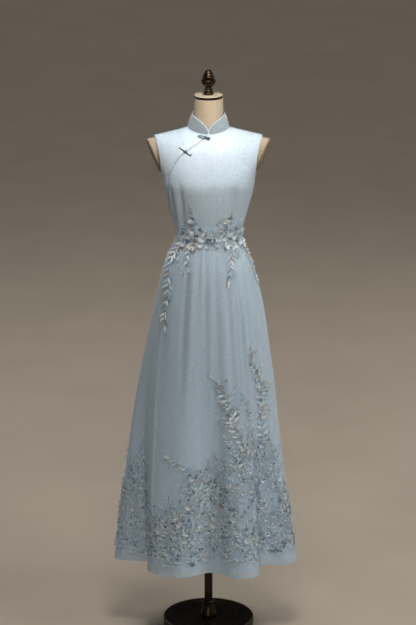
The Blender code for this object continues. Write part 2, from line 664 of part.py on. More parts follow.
def knotted_fasteners():
    """Two knotted cord fasteners: one at the foot of the collar, one across the curved opening."""
    lift = CORD + 3 * SEAM
    loops = {
        "frog_collar_loop": [(-0.0075, 1.6665), (-0.0140, 1.6688), (-0.0220, 1.6700), (-0.0290, 1.6702),
                             (-0.0322, 1.6683), (-0.0290, 1.6660), (-0.0220, 1.6645), (-0.0150, 1.6638),
                             (-0.0085, 1.6630)],
        "frog_chest_right": [(-0.0888, 1.6361), (-0.0830, 1.6329), (-0.0755, 1.6289)],
        "frog_chest_left": [(-0.0664, 1.6233), (-0.0628, 1.6205), (-0.0573, 1.6158), (-0.0535, 1.6195)],
    }
    for name, route in loops.items():
        pairs = [on_front(x, z) for x, z in route]
        tube(name, [point + normal * lift for point, normal in pairs], CORD, BRAID)
    for name, x, z, radius in (("frog_collar_knot", -0.0015, 1.6630, 0.0052),
                               ("frog_chest_knot", -0.0705, 1.6265, 0.0036)):
        point, normal = on_front(x, z)
        bpy.ops.mesh.primitive_uv_sphere_add(segments=12, ring_count=8, radius=radius,
                                             location=point + normal * (radius + 3 * SEAM))
        knot = bpy.context.object
        knot.name = knot.data.name = name
        knot.data.materials.append(BRAID)
        bpy.context.collection.objects.unlink(knot)
        PARTS.objects.link(knot)


def clear_scene():
    for old in list(bpy.data.objects):
        bpy.data.objects.remove(old)


clear_scene()
PARTS = collection("qipao_on_form")
CUTTERS = collection("cutters")
SATIN = material("pale_blue_satin", (0.50, 0.60, 0.66), 0.50)
PIPING_SATIN = material("piping_satin", (0.66, 0.74, 0.79), 0.40)
HEM_SATIN = material("hem_satin", (0.36, 0.52, 0.62), 0.45)
LACE_WHITE = material("silver_blue_lace", (0.62, 0.68, 0.70), 0.55)
BRAID = material("slate_braid", (0.06, 0.10, 0.14), 0.50)
LINEN = material("cream_linen", (0.60, 0.52, 0.40), 0.85)
WOOD = material("walnut", (0.16, 0.11, 0.06), 0.45)
BRONZE = material("aged_bronze", (0.10, 0.08, 0.05), 0.35, 0.9)
stand()
dress_form()
neck_fittings()
bodice()
armhole_binding("armhole_binding_right", -1)
armhole_binding("armhole_binding_left", 1)
collar()
skirt()
applied_lace()
knotted_fasteners()
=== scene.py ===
# %% [markdown]
# # A long qipao on its dress form
# The real object is a sleeveless qipao of pale blue slub satin: a stand collar, a curved opening that runs
# from the neck to the wearer's right side, a fitted bodice, and a long skirt that hangs in deep soft folds.
# Silver-blue leaves and flowers are sewn round the waist and up from the hem. It is shown on a dress form
# covered in cream linen, with walnut arm plates, on a bronze pole and a round base.
#
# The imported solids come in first. They fix where everything is, and the pieces below are built round them.

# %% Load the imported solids
import bisect
import functools
import math
import random
from collections import namedtuple
from contextlib import contextmanager

import bpy
from mathutils import Matrix, Vector


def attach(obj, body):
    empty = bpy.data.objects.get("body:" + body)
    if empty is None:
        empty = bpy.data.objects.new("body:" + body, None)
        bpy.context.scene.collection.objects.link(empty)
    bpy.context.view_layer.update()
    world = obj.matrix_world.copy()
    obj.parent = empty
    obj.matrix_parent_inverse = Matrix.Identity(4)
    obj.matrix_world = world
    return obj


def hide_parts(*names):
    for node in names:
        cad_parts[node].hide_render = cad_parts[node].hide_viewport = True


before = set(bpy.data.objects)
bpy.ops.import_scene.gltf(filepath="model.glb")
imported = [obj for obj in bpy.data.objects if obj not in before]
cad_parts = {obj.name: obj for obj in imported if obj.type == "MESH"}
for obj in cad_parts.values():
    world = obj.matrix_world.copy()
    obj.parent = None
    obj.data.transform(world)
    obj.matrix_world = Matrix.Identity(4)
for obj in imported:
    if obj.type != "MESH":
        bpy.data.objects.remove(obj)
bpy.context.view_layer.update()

# %% [markdown]
# ## Camera
# A tall, narrow subject is flattered by a long lens from far away, because the hem and the neck are then
# seen under nearly the same angle. The camera stands high and looks down a little, so that the hem shows
# its curves and the neck cap shows its top.

# %% Camera
CAMERA_PLACE = (-0.0016, -9.327, 3.994)
CAMERA_PITCH = math.radians(17.366)      # below the horizon
LENS = 176.4


def linked(name, data):
    """A new object with that data, in the scene."""
    made = bpy.data.objects.new(name, data)
    bpy.context.collection.objects.link(made)
    return made


lens = bpy.data.cameras.new("long_lens")
lens.lens = LENS
lens.clip_end = 200
camera = linked("camera", lens)
camera.location = CAMERA_PLACE
camera.rotation_euler = (math.pi / 2 - CAMERA_PITCH, 0, 0)
bpy.context.scene.camera = camera
bpy.context.scene.view_settings.view_transform = "Standard"
print("camera at", CAMERA_PLACE)

# %% [markdown]
# ## Light and floor
# Satin needs large soft lights: a small one leaves a hard glare and black folds. The strongest hang overhead,
# as in a shop window. The one over the chest has a narrow spread, so the shoulders shine and the waist falls
# into shade, and a weak one from low in front lifts the hem. One on the wearer's left draws the bright edges
# of the folds, and two keep the back readable. A very soft sun, straight overhead and a little behind, lights
# the floor evenly without touching the front of the dress. Each lamp is aimed at a height on the form's axis
# with a tracking quaternion, which is easier to change than three angles.

# %% Light and floor
Light = namedtuple("Light", "name place aim_height size power colour spread", defaults=(180,))
LIGHTS = [
    Light("over_chest", (0.05, -0.80, 2.35), 1.67, 0.40, 0.82, (1.0, 0.87, 0.78), 42),
    Light("low_front", (-0.4, -4.5, 1.0), 0.25, 1.6, 1.6, (0.98, 0.99, 1.0), 36),
    Light("overhead", (0.05, -1.20, 4.20), 1.20, 0.90, 42, (1.0, 0.98, 0.95)),
    Light("wearers_left", (3.4, -1.6, 2.3), 0.9, 1.2, 45, (1.0, 0.99, 0.97)),
    Light("left_edge", (3.0, 0.9, 2.0), 0.9, 1.2, 6, (1.0, 0.99, 0.97)),
    Light("behind_right", (-2.6, 2.8, 2.6), 0.9, 2.2, 18, (0.95, 0.98, 1.0)),
    Light("behind_left", (2.4, 3.2, 2.4), 0.9, 2.2, 18, (1.0, 0.97, 0.93)),
]
for light in LIGHTS:
    data = bpy.data.lights.new(light.name, "AREA")
    data.shape = "DISK"
    data.size, data.energy, data.color = light.size, light.power, light.colour
    data.spread = math.radians(light.spread)
    lamp = linked(light.name, data)
    lamp.location = light.place
    view = Vector((0, 0, light.aim_height)) - lamp.location
    lamp.rotation_euler = view.to_track_quat("-Z", "Y").to_euler()
    lamp.visible_camera = False

SUN_TILT, SUN_SOFTNESS, SUN_STRENGTH = math.radians(12), math.radians(40), 0.62
sun = bpy.data.lights.new("ceiling", "SUN")
sun.angle, sun.energy, sun.color = SUN_SOFTNESS, SUN_STRENGTH, (1.0, 0.96, 0.90)
ceiling = linked("ceiling", sun)
ceiling.rotation_euler = (-SUN_TILT, 0, 0)

WORLD_GREY, WORLD_STRENGTH = 0.80, 0.03
studio = bpy.data.worlds.new("studio")
studio.use_nodes = True
background = studio.node_tree.nodes["Background"]
background.inputs["Color"].default_value = (WORLD_GREY, WORLD_GREY, WORLD_GREY, 1)
background.inputs["Strength"].default_value = WORLD_STRENGTH
bpy.context.scene.world = studio

FLOOR_WIDTH = 120.0
bpy.ops.object.select_all(action="DESELECT")
bpy.ops.mesh.primitive_plane_add(size=FLOOR_WIDTH, location=(0, 0, 0))
floor = bpy.context.object
floor.name = "studio_floor"
print("lights:", [light.name for light in LIGHTS])

# %% [markdown]
# ## Finishes
# Every finish is made of nodes. A short helper opens a material and hands back its node tree, and others
# make what most of them need: coordinates stretched along one direction, a noise, a ramp, a mix and a bump. A
# weave is a noise stretched a long way along its threads. Two such noises at right angles, warp and weft,
# give slub cloth. Sheen, coat and roughness that are even all over are set on the shader's own sockets.
# `plain` puts these together for the finishes that need only one noise.

# %% Helpers for node materials
def open_finish(name, colour, roughness, **even):
    """A new material and its tree. `even` holds sockets that are the same all over, such as sheen."""
    made = bpy.data.materials.new(name)
    made.use_nodes = True
    shader = made.node_tree.nodes["Principled BSDF"]
    shader.inputs["Base Color"].default_value = (*colour, 1)
    shader.inputs["Roughness"].default_value = roughness
    for socket, value in even.items():
        shader.inputs[socket.replace("_", " ")].default_value = value
    return made, made.node_tree, shader


def stretched(tree, source, scale):
    """The coordinates `source`, a UV map's name or "Object", scaled along each direction."""
    if source == "Object":
        coordinates = tree.nodes.new("ShaderNodeTexCoord").outputs["Object"]
    else:
        uv = tree.nodes.new("ShaderNodeUVMap")
        uv.uv_map = source
        coordinates = uv.outputs["UV"]
    mapping = tree.nodes.new("ShaderNodeMapping")
    mapping.inputs["Scale"].default_value = scale
    tree.links.new(coordinates, mapping.inputs["Vector"])
    return mapping.outputs["Vector"]


def noise(tree, vector, scale=1.0, detail=2.0, rough=0.5):
    node = tree.nodes.new("ShaderNodeTexNoise")
    node.inputs["Scale"].default_value = scale
    node.inputs["Detail"].default_value = detail
    node.inputs["Roughness"].default_value = rough
    tree.links.new(vector, node.inputs["Vector"])
    return node.outputs["Fac"]


def sums(tree, operation, first, second):
    """A Math node; each side is an output or a number."""
    node = tree.nodes.new("ShaderNodeMath")
    node.operation = operation
    for socket, value in zip(node.inputs, (first, second)):
        if isinstance(value, (int, float)):
            socket.default_value = value
        else:
            tree.links.new(value, socket)
    return node.outputs[0]


def graded(tree, factor, stops):
    """A colour ramp: stops are (position, colour)."""
    node = tree.nodes.new("ShaderNodeValToRGB")
    ramp = node.color_ramp
    while len(ramp.elements) < len(stops):
        ramp.elements.new(0.5)
    for element, (position, colour) in zip(ramp.elements, stops):
        element.position, element.color = position, (*colour, 1)
    tree.links.new(factor, node.inputs["Fac"])
    return node.outputs["Color"]


def mixed(tree, factor, first, second, way="MIX"):
    """A colour mix; each colour is an output or three numbers, and factor an output or a number."""
    node = tree.nodes.new("ShaderNodeMix")
    node.data_type, node.blend_type = "RGBA", way
    sockets = [node.inputs[0], node.inputs[6], node.inputs[7]]
    for socket, value in zip(sockets, (factor, first, second)):
        if isinstance(value, (int, float)):
            socket.default_value = value
        elif isinstance(value, tuple):
            socket.default_value = (*value, 1)
        else:
            tree.links.new(value, socket)
    return node.outputs[2]


def painted(tree, shader, output, socket="Base Color"):
    tree.links.new(output, shader.inputs[socket])


def grey(value):
    return value, value, value


def bump(tree, shader, height, distance, strength):
    node = tree.nodes.new("ShaderNodeBump")
    node.inputs["Strength"].default_value = strength
    node.inputs["Distance"].default_value = distance
    tree.links.new(height, node.inputs["Height"])
    tree.links.new(node.outputs["Normal"], shader.inputs["Normal"])


def plain(name, colour, roughness, scale, stops, depth=0.0, strength=0.6, detail=2, source="weave",
          thread=False, **even):
    """A finish with one noise. Its ramp is the colour, or with `thread` a shade over the thread's colour."""
    made, tree, shader = open_finish(name, colour, roughness, **even)
    grain = noise(tree, stretched(tree, source, scale), detail=detail)
    shade = graded(tree, grain, stops)
    if thread:
        own = tree.nodes.new("ShaderNodeAttribute")
        own.attribute_name = "thread"
        shade = mixed(tree, 1.0, own.outputs["Color"], shade, "MULTIPLY")
    painted(tree, shader, shade)
    if depth:
        bump(tree, shader, grain, depth, strength)
    return made


print("helpers for finishes are ready")

# %% [markdown]
# The slub satin is the finish that matters most. Its UV map "weave" is in metres, so a thread has its true
# width on every panel: warp threads about 1 mm wide and up to 4 cm long, and finer weft across them. A third,
# broad noise gives the slight clouding of hand-dyed cloth. On the skirt the last 3 cm above the hem are a
# single sheer layer, which looks greyer, so the skirt's version fades to another colour by the height that
# the UV map holds.

# %% Slub satin, its sheer hem and its pipings
HEM = 0.232              # height of the skirt's lower edge
SHEER = 0.030            # height of the single sheer layer above it
SHEER_EDGE = 0.022       # height over which its colour changes
WARP, WEFT, SLUBS, CLOUDS = (900, 26, 1), (40, 1300, 1), (340, 260, 1), (9, 9, 4)


def mean(tree, first, second):
    return sums(tree, "MULTIPLY", sums(tree, "ADD", first, second), 0.5)


def satin(name, pale, deep, sheer=None):
    made, tree, shader = open_finish(name, pale, 0.46, Sheen_Weight=0.22, Sheen_Roughness=0.35,
                                     Specular_IOR_Level=0.42)
    along = noise(tree, stretched(tree, "weave", WARP), detail=3, rough=0.6)
    weave = mean(tree, along, noise(tree, stretched(tree, "weave", WEFT)))
    colour = graded(tree, weave, [(0.36, deep), (0.62, pale)])
    clouds = noise(tree, stretched(tree, "Object", CLOUDS), detail=3)
    colour = mixed(tree, sums(tree, "MULTIPLY", clouds, 0.30), colour, tuple(0.80 * part for part in deep))
    slubs = graded(tree, noise(tree, stretched(tree, "weave", SLUBS)), [(0.36, grey(0.80)), (0.64, grey(1.0))])
    colour = mixed(tree, 1.0, colour, slubs, "MULTIPLY")
    if sheer:
        split = tree.nodes.new("ShaderNodeSeparateXYZ")
        tree.links.new(stretched(tree, "weave", (1, 1, 1)), split.inputs[0])
        fade = tree.nodes.new("ShaderNodeMapRange")
        fade.inputs["From Min"].default_value = HEM + SHEER
        fade.inputs["From Max"].default_value = HEM + SHEER - SHEER_EDGE
        tree.links.new(split.outputs["Y"], fade.inputs["Value"])
        colour = mixed(tree, sums(tree, "MULTIPLY", fade.outputs[0], 0.60), colour, sheer)
    painted(tree, shader, colour)
    painted(tree, shader, graded(tree, along, [(0.3, grey(0.56)), (0.7, grey(0.38))]), "Roughness")
    bump(tree, shader, weave, 0.0006, 0.35)
    return made


PALE_BLUE, DEEP_BLUE = (0.670, 0.830, 0.960), (0.450, 0.590, 0.715)
SATIN = satin("slub_satin", PALE_BLUE, DEEP_BLUE)
SKIRT_SATIN = satin("skirt_slub_satin", PALE_BLUE, DEEP_BLUE, sheer=(0.50, 0.55, 0.56))
# The collar is the same slub satin in a much darker copy: its darkness is painted shade on the band.
SHADED_COLLAR_SATIN = satin("collar_slub_satin", (0.350, 0.440, 0.500), (0.240, 0.310, 0.365))


def bias_satin(name, pale, deep):
    """Satin cut on the bias and rolled round a cord; its threads run along the cord."""
    return plain(name, pale, 0.40, (1400, 260, 1), [(0.35, deep), (0.65, pale)], 0.0003, 0.5,
                 Sheen_Weight=0.25, Sheen_Roughness=0.35)


PIPING_SATIN = bias_satin("piping_satin", (0.62, 0.71, 0.78), (0.46, 0.56, 0.64))
HEM_SATIN = bias_satin("hem_satin", (0.46, 0.62, 0.74), (0.30, 0.45, 0.57))
# The opening's piping is dark slate satin: its darkness is partly the piping's own colour and partly a painted
# shadow line along the opening's step.
OPENING_SHADOW_SATIN = bias_satin("opening_satin", (0.155, 0.200, 0.240), (0.085, 0.120, 0.150))
print("satins:", SATIN.name, SKIRT_SATIN.name, PIPING_SATIN.name, HEM_SATIN.name)

# %% [markdown]
# The appliqué is worked in satin stitch. Each leaf and petal carries its own thread colour in a colour
# attribute, so one finish serves thousands of them, and a wave across the leaf's UV map gives the ridges of
# the stitches. The beads read the same attribute under a clear coat.

# %% Threads, beads and braid
STITCHED = plain("satin_stitch", (0.6, 0.65, 0.68), 0.42, (300, 2600, 1),
                 [(0.34, (0.62, 0.64, 0.66)), (0.62, grey(1.0))], 0.0004, detail=1, thread=True,
                 Sheen_Weight=0.35, Sheen_Roughness=0.3)
BEAD = plain("glass_bead", (0.7, 0.6, 0.4), 0.16, (700, 700, 700),
             [(0.3, (0.72, 0.70, 0.66)), (0.7, grey(1.0))], detail=1, source="Object", thread=True,
             Coat_Weight=0.6, Coat_Roughness=0.05)
BRAID = plain("slate_braid", (0.05, 0.08, 0.11), 0.45, (2200, 500, 1),
              [(0.35, (0.020, 0.036, 0.055)), (0.7, (0.10, 0.15, 0.20))], 0.0003,
              Sheen_Weight=0.4, Sheen_Roughness=0.4)
print("trimmings:", STITCHED.name, BEAD.name, BRAID.name)

# %% [markdown]
# The form is covered in plain-woven linen, which has no shine and shows its threads in both directions. The
# arm plates are walnut, whose grain is a noise drawn out along the board and bent by a second, broader one.
# The metal is steel finished as aged bronze: a noise mixes a dark brown with a lighter one all over it.
# The neck cap's top is brushed in rings, so its bump is a noise over the distance from its centre.

# %% Linen, walnut and bronze
def linen(name):
    made, tree, shader = open_finish(name, (0.50, 0.445, 0.35), 0.88, Specular_IOR_Level=0.2)
    threads = [noise(tree, stretched(tree, "Object", scale)) for scale in ((1500, 1500, 60), (60, 60, 1500))]
    weave = mean(tree, *threads)
    colour = graded(tree, weave, [(0.35, (0.37, 0.315, 0.228)), (0.65, (0.49, 0.432, 0.335))])
    clouds = noise(tree, stretched(tree, "Object", (14, 14, 14)), detail=3)
    painted(tree, shader, mixed(tree, sums(tree, "MULTIPLY", clouds, 0.3), colour, (0.32, 0.265, 0.185)))
    bump(tree, shader, weave, 0.0004, 0.4)
    return made


def walnut(name):
    made, tree, shader = open_finish(name, (0.10, 0.075, 0.045), 0.48, Coat_Weight=0.12, Coat_Roughness=0.2)
    bend = noise(tree, stretched(tree, "Object", (20, 12, 6)))
    vector = tree.nodes.new("ShaderNodeVectorMath")
    vector.operation = "ADD"
    tree.links.new(stretched(tree, "Object", (260, 260, 14)), vector.inputs[0])
    tree.links.new(mixed(tree, 1.0, bend, grey(3.0), "MULTIPLY"), vector.inputs[1])
    grain = noise(tree, vector.outputs[0], detail=5, rough=0.6)
    painted(tree, shader, graded(tree, grain, [(0.30, (0.095, 0.070, 0.040)), (0.50, (0.185, 0.142, 0.085)),
                                               (0.70, (0.275, 0.218, 0.140))]))
    bump(tree, shader, grain, 0.0003, 0.3)
    return made


def bronze(name, darker_tone, lighter_tone, rough, ringed=False):
    made, tree, shader = open_finish(name, lighter_tone, rough, Metallic=0.35 if ringed else 0.85)
    # Two tones mixed by a noise: aged bronze on the stand, and on the cap's top two light tones that are a
    # painted highlight.
    mottle = noise(tree, stretched(tree, "Object", (38, 38, 38)), detail=6, rough=0.65)
    painted(tree, shader, graded(tree, mottle, [(0.35, darker_tone), (0.66, lighter_tone)]))
    fine = noise(tree, stretched(tree, "Object", (420, 420, 420)), detail=3)
    if ringed:
        length = tree.nodes.new("ShaderNodeVectorMath")
        length.operation = "LENGTH"
        tree.links.new(stretched(tree, "Object", (1, 1, 0)), length.inputs[0])
        rings = tree.nodes.new("ShaderNodeTexNoise")
        rings.noise_dimensions = "1D"
        rings.inputs["Scale"].default_value = 1500
        tree.links.new(length.outputs["Value"], rings.inputs["W"])
        fine = rings.outputs["Fac"]
    shine = graded(tree, fine, [(0.3, grey(rough - 0.1)), (0.7, grey(rough + 0.12))])
    painted(tree, shader, shine, "Roughness")
    bump(tree, shader, fine, 0.0002, 0.25)
    return made


LINEN, WALNUT = linen("cream_linen"), walnut("walnut")
BRONZE = bronze("aged_bronze", (0.010, 0.006, 0.003), (0.050, 0.033, 0.015), 0.34)
# The cap's top finish is much lighter than the bronze: that lightness is a painted highlight of the lamps
# overhead. Its rings are brushing.
CAP_TOP_PAINTED_HIGHLIGHT = bronze("brushed_cap", (0.56, 0.48, 0.36), (0.72, 0.64, 0.49), 0.42, ringed=True)
FLOOR_FINISH = plain("pale_floor", (0.50, 0.43, 0.35), 0.85, (3, 3, 3),
                     [(0.3, (0.47, 0.405, 0.33)), (0.7, (0.51, 0.44, 0.36))], detail=6, source="Object")
floor.data.materials.append(FLOOR_FINISH)
print("form and stand:", LINEN.name, WALNUT.name, BRONZE.name, CAP_TOP_PAINTED_HIGHLIGHT.name)

# %% [markdown]
# ## The dress's surface
# All the cloth hangs on one surface, which a few tables describe, so that neighbouring panels meet and the
# flowers lie on the cloth. The tables are the ones the solids were made from. `BODICE` and `SKIRT` give
# half-widths and depths at each height, and `FOLDS` gives the lines of cloth that run from hip to hem: the
# angle of each line at both ends, and how far it stands out at the hem.

# %% Sizes and tables of the dress
WAIST, BUST, CHEST = 1.338, 1.500, 1.520             # heights
NECK_HALF, NECK_FRONT, NECK_BACK, BACK_NECK_RISE = 0.0665, 0.052, 0.054, 0.012
CLOTH, SEAM = 0.0015, 0.0003                         # thickness of the cloth; gap between neighbouring pieces
PIPING, HEM_ROLL, CORD = 0.0014, 0.0016, 0.0015      # radii
FRONT_TURN, BACK_TURN = 5.0, 2.9                     # how late the chest and the back turn in to the shoulder
FRONT_SLOPE, SLOPE_EASE = 0.373, 0.12                # how much the chest leans back, and how softly it starts
FOLD_TOP, FOLD_GROWTH = 1.285, 1.25                  # where the folds start, and how they grow down to the hem


def table(kind, rows):
    return tuple(kind(*row) for row in rows)


Ring = namedtuple("Ring", "z half front back power")
BODICE = table(Ring, (
    (1.338, 0.1045, 0.0800, 0.0860, 2.00), (1.377, 0.1114, 0.0845, 0.0890, 2.05),
    (1.403, 0.1193, 0.0905, 0.0925, 2.05), (1.430, 0.1262, 0.0975, 0.0960, 2.10),
    (1.456, 0.1338, 0.1040, 0.0990, 2.15), (1.482, 0.1405, 0.1095, 0.1015, 2.25),
    (1.500, 0.1440, 0.1132, 0.1030, 2.40), (1.520, 0.1467, 0.1158, 0.1030, 2.50),
    (1.533, 0.1482, 0.1162, 0.1030, 2.50), (1.560, 0.1600, 0.1162, 0.1030, 2.40),
    (1.585, 0.1720, 0.1162, 0.1030, 2.30), (1.620, 0.1800, 0.1162, 0.1030, 2.30),
    (1.720, 0.1840, 0.1162, 0.1030, 2.30)))
Level = namedtuple("Level", "z left right front back")
SKIRT = table(Level, (
    (0.232, 0.3046, 0.2864, 0.1820, 0.1960), (0.319, 0.2926, 0.2734, 0.1740, 0.1880),
    (0.431, 0.2816, 0.2584, 0.1670, 0.1800), (0.542, 0.2676, 0.2449, 0.1600, 0.1720),
    (0.653, 0.2546, 0.2324, 0.1520, 0.1640), (0.761, 0.2401, 0.2204, 0.1440, 0.1560),
    (0.870, 0.2231, 0.2089, 0.1360, 0.1480), (0.979, 0.2016, 0.1929, 0.1270, 0.1390),
    (1.086, 0.1781, 0.1759, 0.1180, 0.1300), (1.193, 0.1546, 0.1514, 0.1070, 0.1180),
    (1.246, 0.1401, 0.1379, 0.1000, 0.1100), (1.285, 0.1236, 0.1224, 0.0910, 0.1000),
    (1.311, 0.1105, 0.1130, 0.0850, 0.0925), (1.338, 0.1045, 0.1045, 0.0800, 0.0860)))
Fold = namedtuple("Fold", "hip hem radius")    # degrees from centre front at hip and at hem, radius at hem
FOLDS = table(Fold, (
    (-180, -179, 0.172), (-165, -166, 0.200), (-153, -154, 0.226), (-140, -141, 0.212), (-130, -131, 0.196),
    (-120, -118, 0.246), (-112, -108, 0.262), (-106, -103, 0.262), (-101, -97, 0.291), (-96, -92, 0.309),
    (-91, -88.5, 0.288), (-86, -86.5, 0.240), (-81, -82, 0.197), (-76, -72, 0.198), (-70, -64, 0.222),
    (-60, -55, 0.219), (-46, -42, 0.202), (-32, -30, 0.187), (-20, -19, 0.162), (-9, -9, 0.132),
    (3, 3, 0.120), (14, 15, 0.135), (24, 24, 0.177), (34, 32, 0.203), (44, 41, 0.218), (52, 49, 0.214),
    (58, 58, 0.188), (64, 70, 0.172), (71, 75, 0.203), (78, 78.5, 0.252), (85, 84, 0.279),
    (92, 91, 0.2875), (100, 99, 0.274), (108, 108, 0.238), (117, 117, 0.236), (126, 125, 0.262),
    (136, 134, 0.240), (147, 147, 0.196), (158, 157, 0.214), (169, 168, 0.206), (180, 181, 0.172)))
Edge = namedtuple("Edge", "z x")
ARMHOLE = table(Edge, (
    (1.533, 0.1482), (1.560, 0.1475), (1.590, 0.1485), (1.622, 0.1535), (1.6615, 0.1655)))
OPENING = table(Edge, (      # the curved opening, from the side seam up to centre front
    (1.400, -0.1186), (1.440, -0.1230), (1.475, -0.1248), (1.510, -0.1255), (1.543, -0.1235),
    (1.574, -0.1120), (1.607, -0.0910), (1.634, -0.0600), (1.655, -0.0260), (1.665, -0.0070),
    (1.690, -0.0040)))
Crest = namedtuple("Crest", "x z")
SHOULDER = table(Crest, (
    (0.0, 1.6900), (0.0665, 1.6850), (0.085, 1.6795), (0.112, 1.6730), (0.1655, 1.6615)))
print("rows:", len(BODICE), "in the bodice,", len(SKIRT), "in the skirt,", len(FOLDS), "folds")

# %% [markdown]
# A table is read on a smooth curve that never overshoots, so that a fold can't bulge between two rows. The
# columns and their slopes are worked out once and kept, because the table is read some hundred thousand
# times.

# %% Read a table smoothly
@functools.lru_cache(maxsize=None)
def curve_through(table, key, value):
    rows = sorted(table, key=lambda row: getattr(row, key))
    keys = [getattr(row, key) for row in rows]
    values = [getattr(row, value) for row in rows]
    slopes = [(values[k + 1] - values[k]) / (keys[k + 1] - keys[k]) for k in range(len(keys) - 1)]
    tangents = [slopes[0]]
    for before, after in zip(slopes, slopes[1:]):
        tangents.append(0.0 if before * after <= 0 else 2 * before * after / (before + after))
    return keys, values, tangents + [slopes[-1]]


def read(table, key, value, at):
    """The table's column `value` where its column `key` is `at`."""
    keys, values, tangents = curve_through(table, key, value)
    at = min(max(at, keys[0]), keys[-1])
    i = min(max(bisect.bisect_right(keys, at) - 1, 0), len(keys) - 2)
    span = keys[i + 1] - keys[i]
    t = (at - keys[i]) / span
    return (values[i] * (2 * t**3 - 3 * t**2 + 1) + tangents[i] * span * (t**3 - 2 * t**2 + t)
            + values[i + 1] * (3 * t**2 - 2 * t**3) + tangents[i + 1] * span * (t**3 - t**2))


def halved(low, high, too_low, rounds):
    """Halves the span again and again: the place between low and high where `too_low` stops being true."""
    for _ in range(rounds):
        middle = (low + high) / 2
        low, high = (middle, high) if too_low(middle) else (low, middle)
    return low


print("half-width at the bust:", round(read(BODICE, "z", "half", BUST), 4))

# %% [markdown]
# The skirt is an oval at each height, and each line of cloth moves in or out from it as it nears the hem.
# Small folds are listed in the table `RIPPLES`: where each starts round the hip, how far it drifts,
# its top and bottom, its width and its height. They are uneven on purpose. Cloth that is held at the
# waist falls in a few soft pleats and never in equal ones.

# %% The skirt's surface
BELL = 3                 # a ripple or crease is flat this many times its width away
RIPPLE_START, RIPPLE_END = 0.22, 0.45    # a ripple is full between these parts of its length
Spot = namedtuple("Spot", "point around up out metres")
Ripple = namedtuple("Ripple", "hip drift top bottom width height")
RIPPLES = table(Ripple, (
    (-52, -2, 1.30, 0.85, 4.0, 0.0018), (-38, 2, 1.31, 0.78, 4.0, -0.0040),
    (-26, -2, 1.31, 0.70, 5.0, 0.0030), (-13, 2, 1.325, 1.10, 2.6, 0.0014),
    (-5, -1, 1.30, 0.90, 3.6, -0.0013), (3, 0, 1.30, 0.62, 4.0, 0.0021), (12, 3, 1.31, 0.84, 3.6, -0.0020),
    (32, 1, 1.29, 0.50, 5.0, -0.0056), (41, 0, 1.26, 0.42, 2.6, -0.0022), (50, -1, 1.27, 0.14, 1.5, 0.0066),
    (57, 2, 1.24, 0.55, 3.0, -0.0036), (68, 3, 1.30, 0.80, 3.0, 0.0018), (80, -2, 1.31, 0.90, 4.0, -0.0028),
    (93, 3, 1.32, 0.85, 3.4, 0.0034), (104, -2, 1.30, 0.78, 4.0, -0.0040),
    (118, 2, 1.31, 0.76, 4.0, 0.0036), (131, -3, 1.32, 0.86, 3.2, -0.0030),
    (143, 2, 1.30, 0.60, 4.6, 0.0044), (157, 3, 1.32, 0.90, 3.0, -0.0032),
    (170, -2, 1.31, 0.72, 4.4, 0.0038), (-171, 3, 1.32, 0.85, 3.0, -0.0028),
    (-160, -2, 1.30, 0.62, 5.0, 0.0042), (-146, 3, 1.31, 0.88, 3.4, -0.0036),
    (-134, -2, 1.32, 0.74, 4.0, 0.0034), (-121, 2, 1.30, 0.66, 4.4, -0.0040),
    (-108, -2, 1.31, 0.84, 3.4, 0.0030), (-97, 2, 1.29, 0.70, 3.6, -0.0026),
    (-83, 2, 1.26, 0.50, 2.6, 0.0024), (-75, 4, 1.22, 0.60, 3.0, -0.0026),
    (-65, 2, 1.16, 0.10, 1.7, 0.0050), (-71, 1, 1.16, 0.10, 2.4, -0.0070)))


def wrap(degrees):
    return (degrees + 180) % 360 - 180


def oval(angle, z):
    """Radius of the skirt without its folds, in the direction `angle` from centre front."""
    side = read(SKIRT, "z", "right" if math.sin(angle) > 0 else "left", z)
    depth = read(SKIRT, "z", "front" if math.cos(angle) > 0 else "back", z)
    return 1 / math.hypot(math.sin(angle) / side, math.cos(angle) / depth)


def fade(low, value, high):
    """0 at `low`, 1 at `high`, easing in and out."""
    part = min(1.0, max(0.0, (value - low) / (high - low)))
    return part * part * (3 - 2 * part)


def ripple_height(hip, z):
    total = 0.0
    for ripple in RIPPLES:
        if not ripple.bottom < z < ripple.top:
            continue
        down = (ripple.top - z) / (ripple.top - ripple.bottom)
        away = wrap(hip - ripple.hip - ripple.drift * down) / ripple.width
        if abs(away) < BELL:
            ends = fade(0, down, RIPPLE_START) * fade(1.0, down, RIPPLE_END)
            total += ripple.height * math.exp(-away * away) * ends
    return total


def skirt_point(hip, z):
    """The point at height z on the line of cloth that leaves the hip at `hip` degrees from centre front."""
    depth = max(0.0, (FOLD_TOP - z) / (FOLD_TOP - HEM)) ** FOLD_GROWTH
    at_hem = math.radians(read(FOLDS, "hip", "hem", hip))
    angle = math.radians(hip) * (1 - depth) + at_hem * depth
    fold = read(FOLDS, "hip", "radius", hip) / oval(at_hem, HEM)
    radius = oval(angle, z) * (1 + (fold - 1) * depth) + ripple_height(hip, z)
    return Vector((radius * math.sin(angle), -radius * math.cos(angle), z))


def on_skirt(hip, z):
    """A point of the skirt with its directions around, up and out, and the metres that one degree is."""
    hip, step, rise = wrap(hip), 0.8, 0.003
    around = skirt_point(wrap(hip + step), z) - skirt_point(wrap(hip - step), z)
    up = skirt_point(hip, min(WAIST, z + rise)) - skirt_point(hip, max(HEM, z - rise))
    out = around.cross(up).normalized()
    return Spot(skirt_point(hip, z), around.normalized(), out.cross(around).normalized(), out,
                around.length / (2 * step))


print("hem at centre front:", [round(v, 4) for v in skirt_point(0, HEM)])

# %% [markdown]
# The bodice is a rounded section at each height that closes over the shoulder. Its creases are lines drawn
# from one point of the chest to another: the fold of each bust dart, the drag lines that point at the
# armholes, and the slack above the waist. The back has its own, since a dress is seen from all sides.

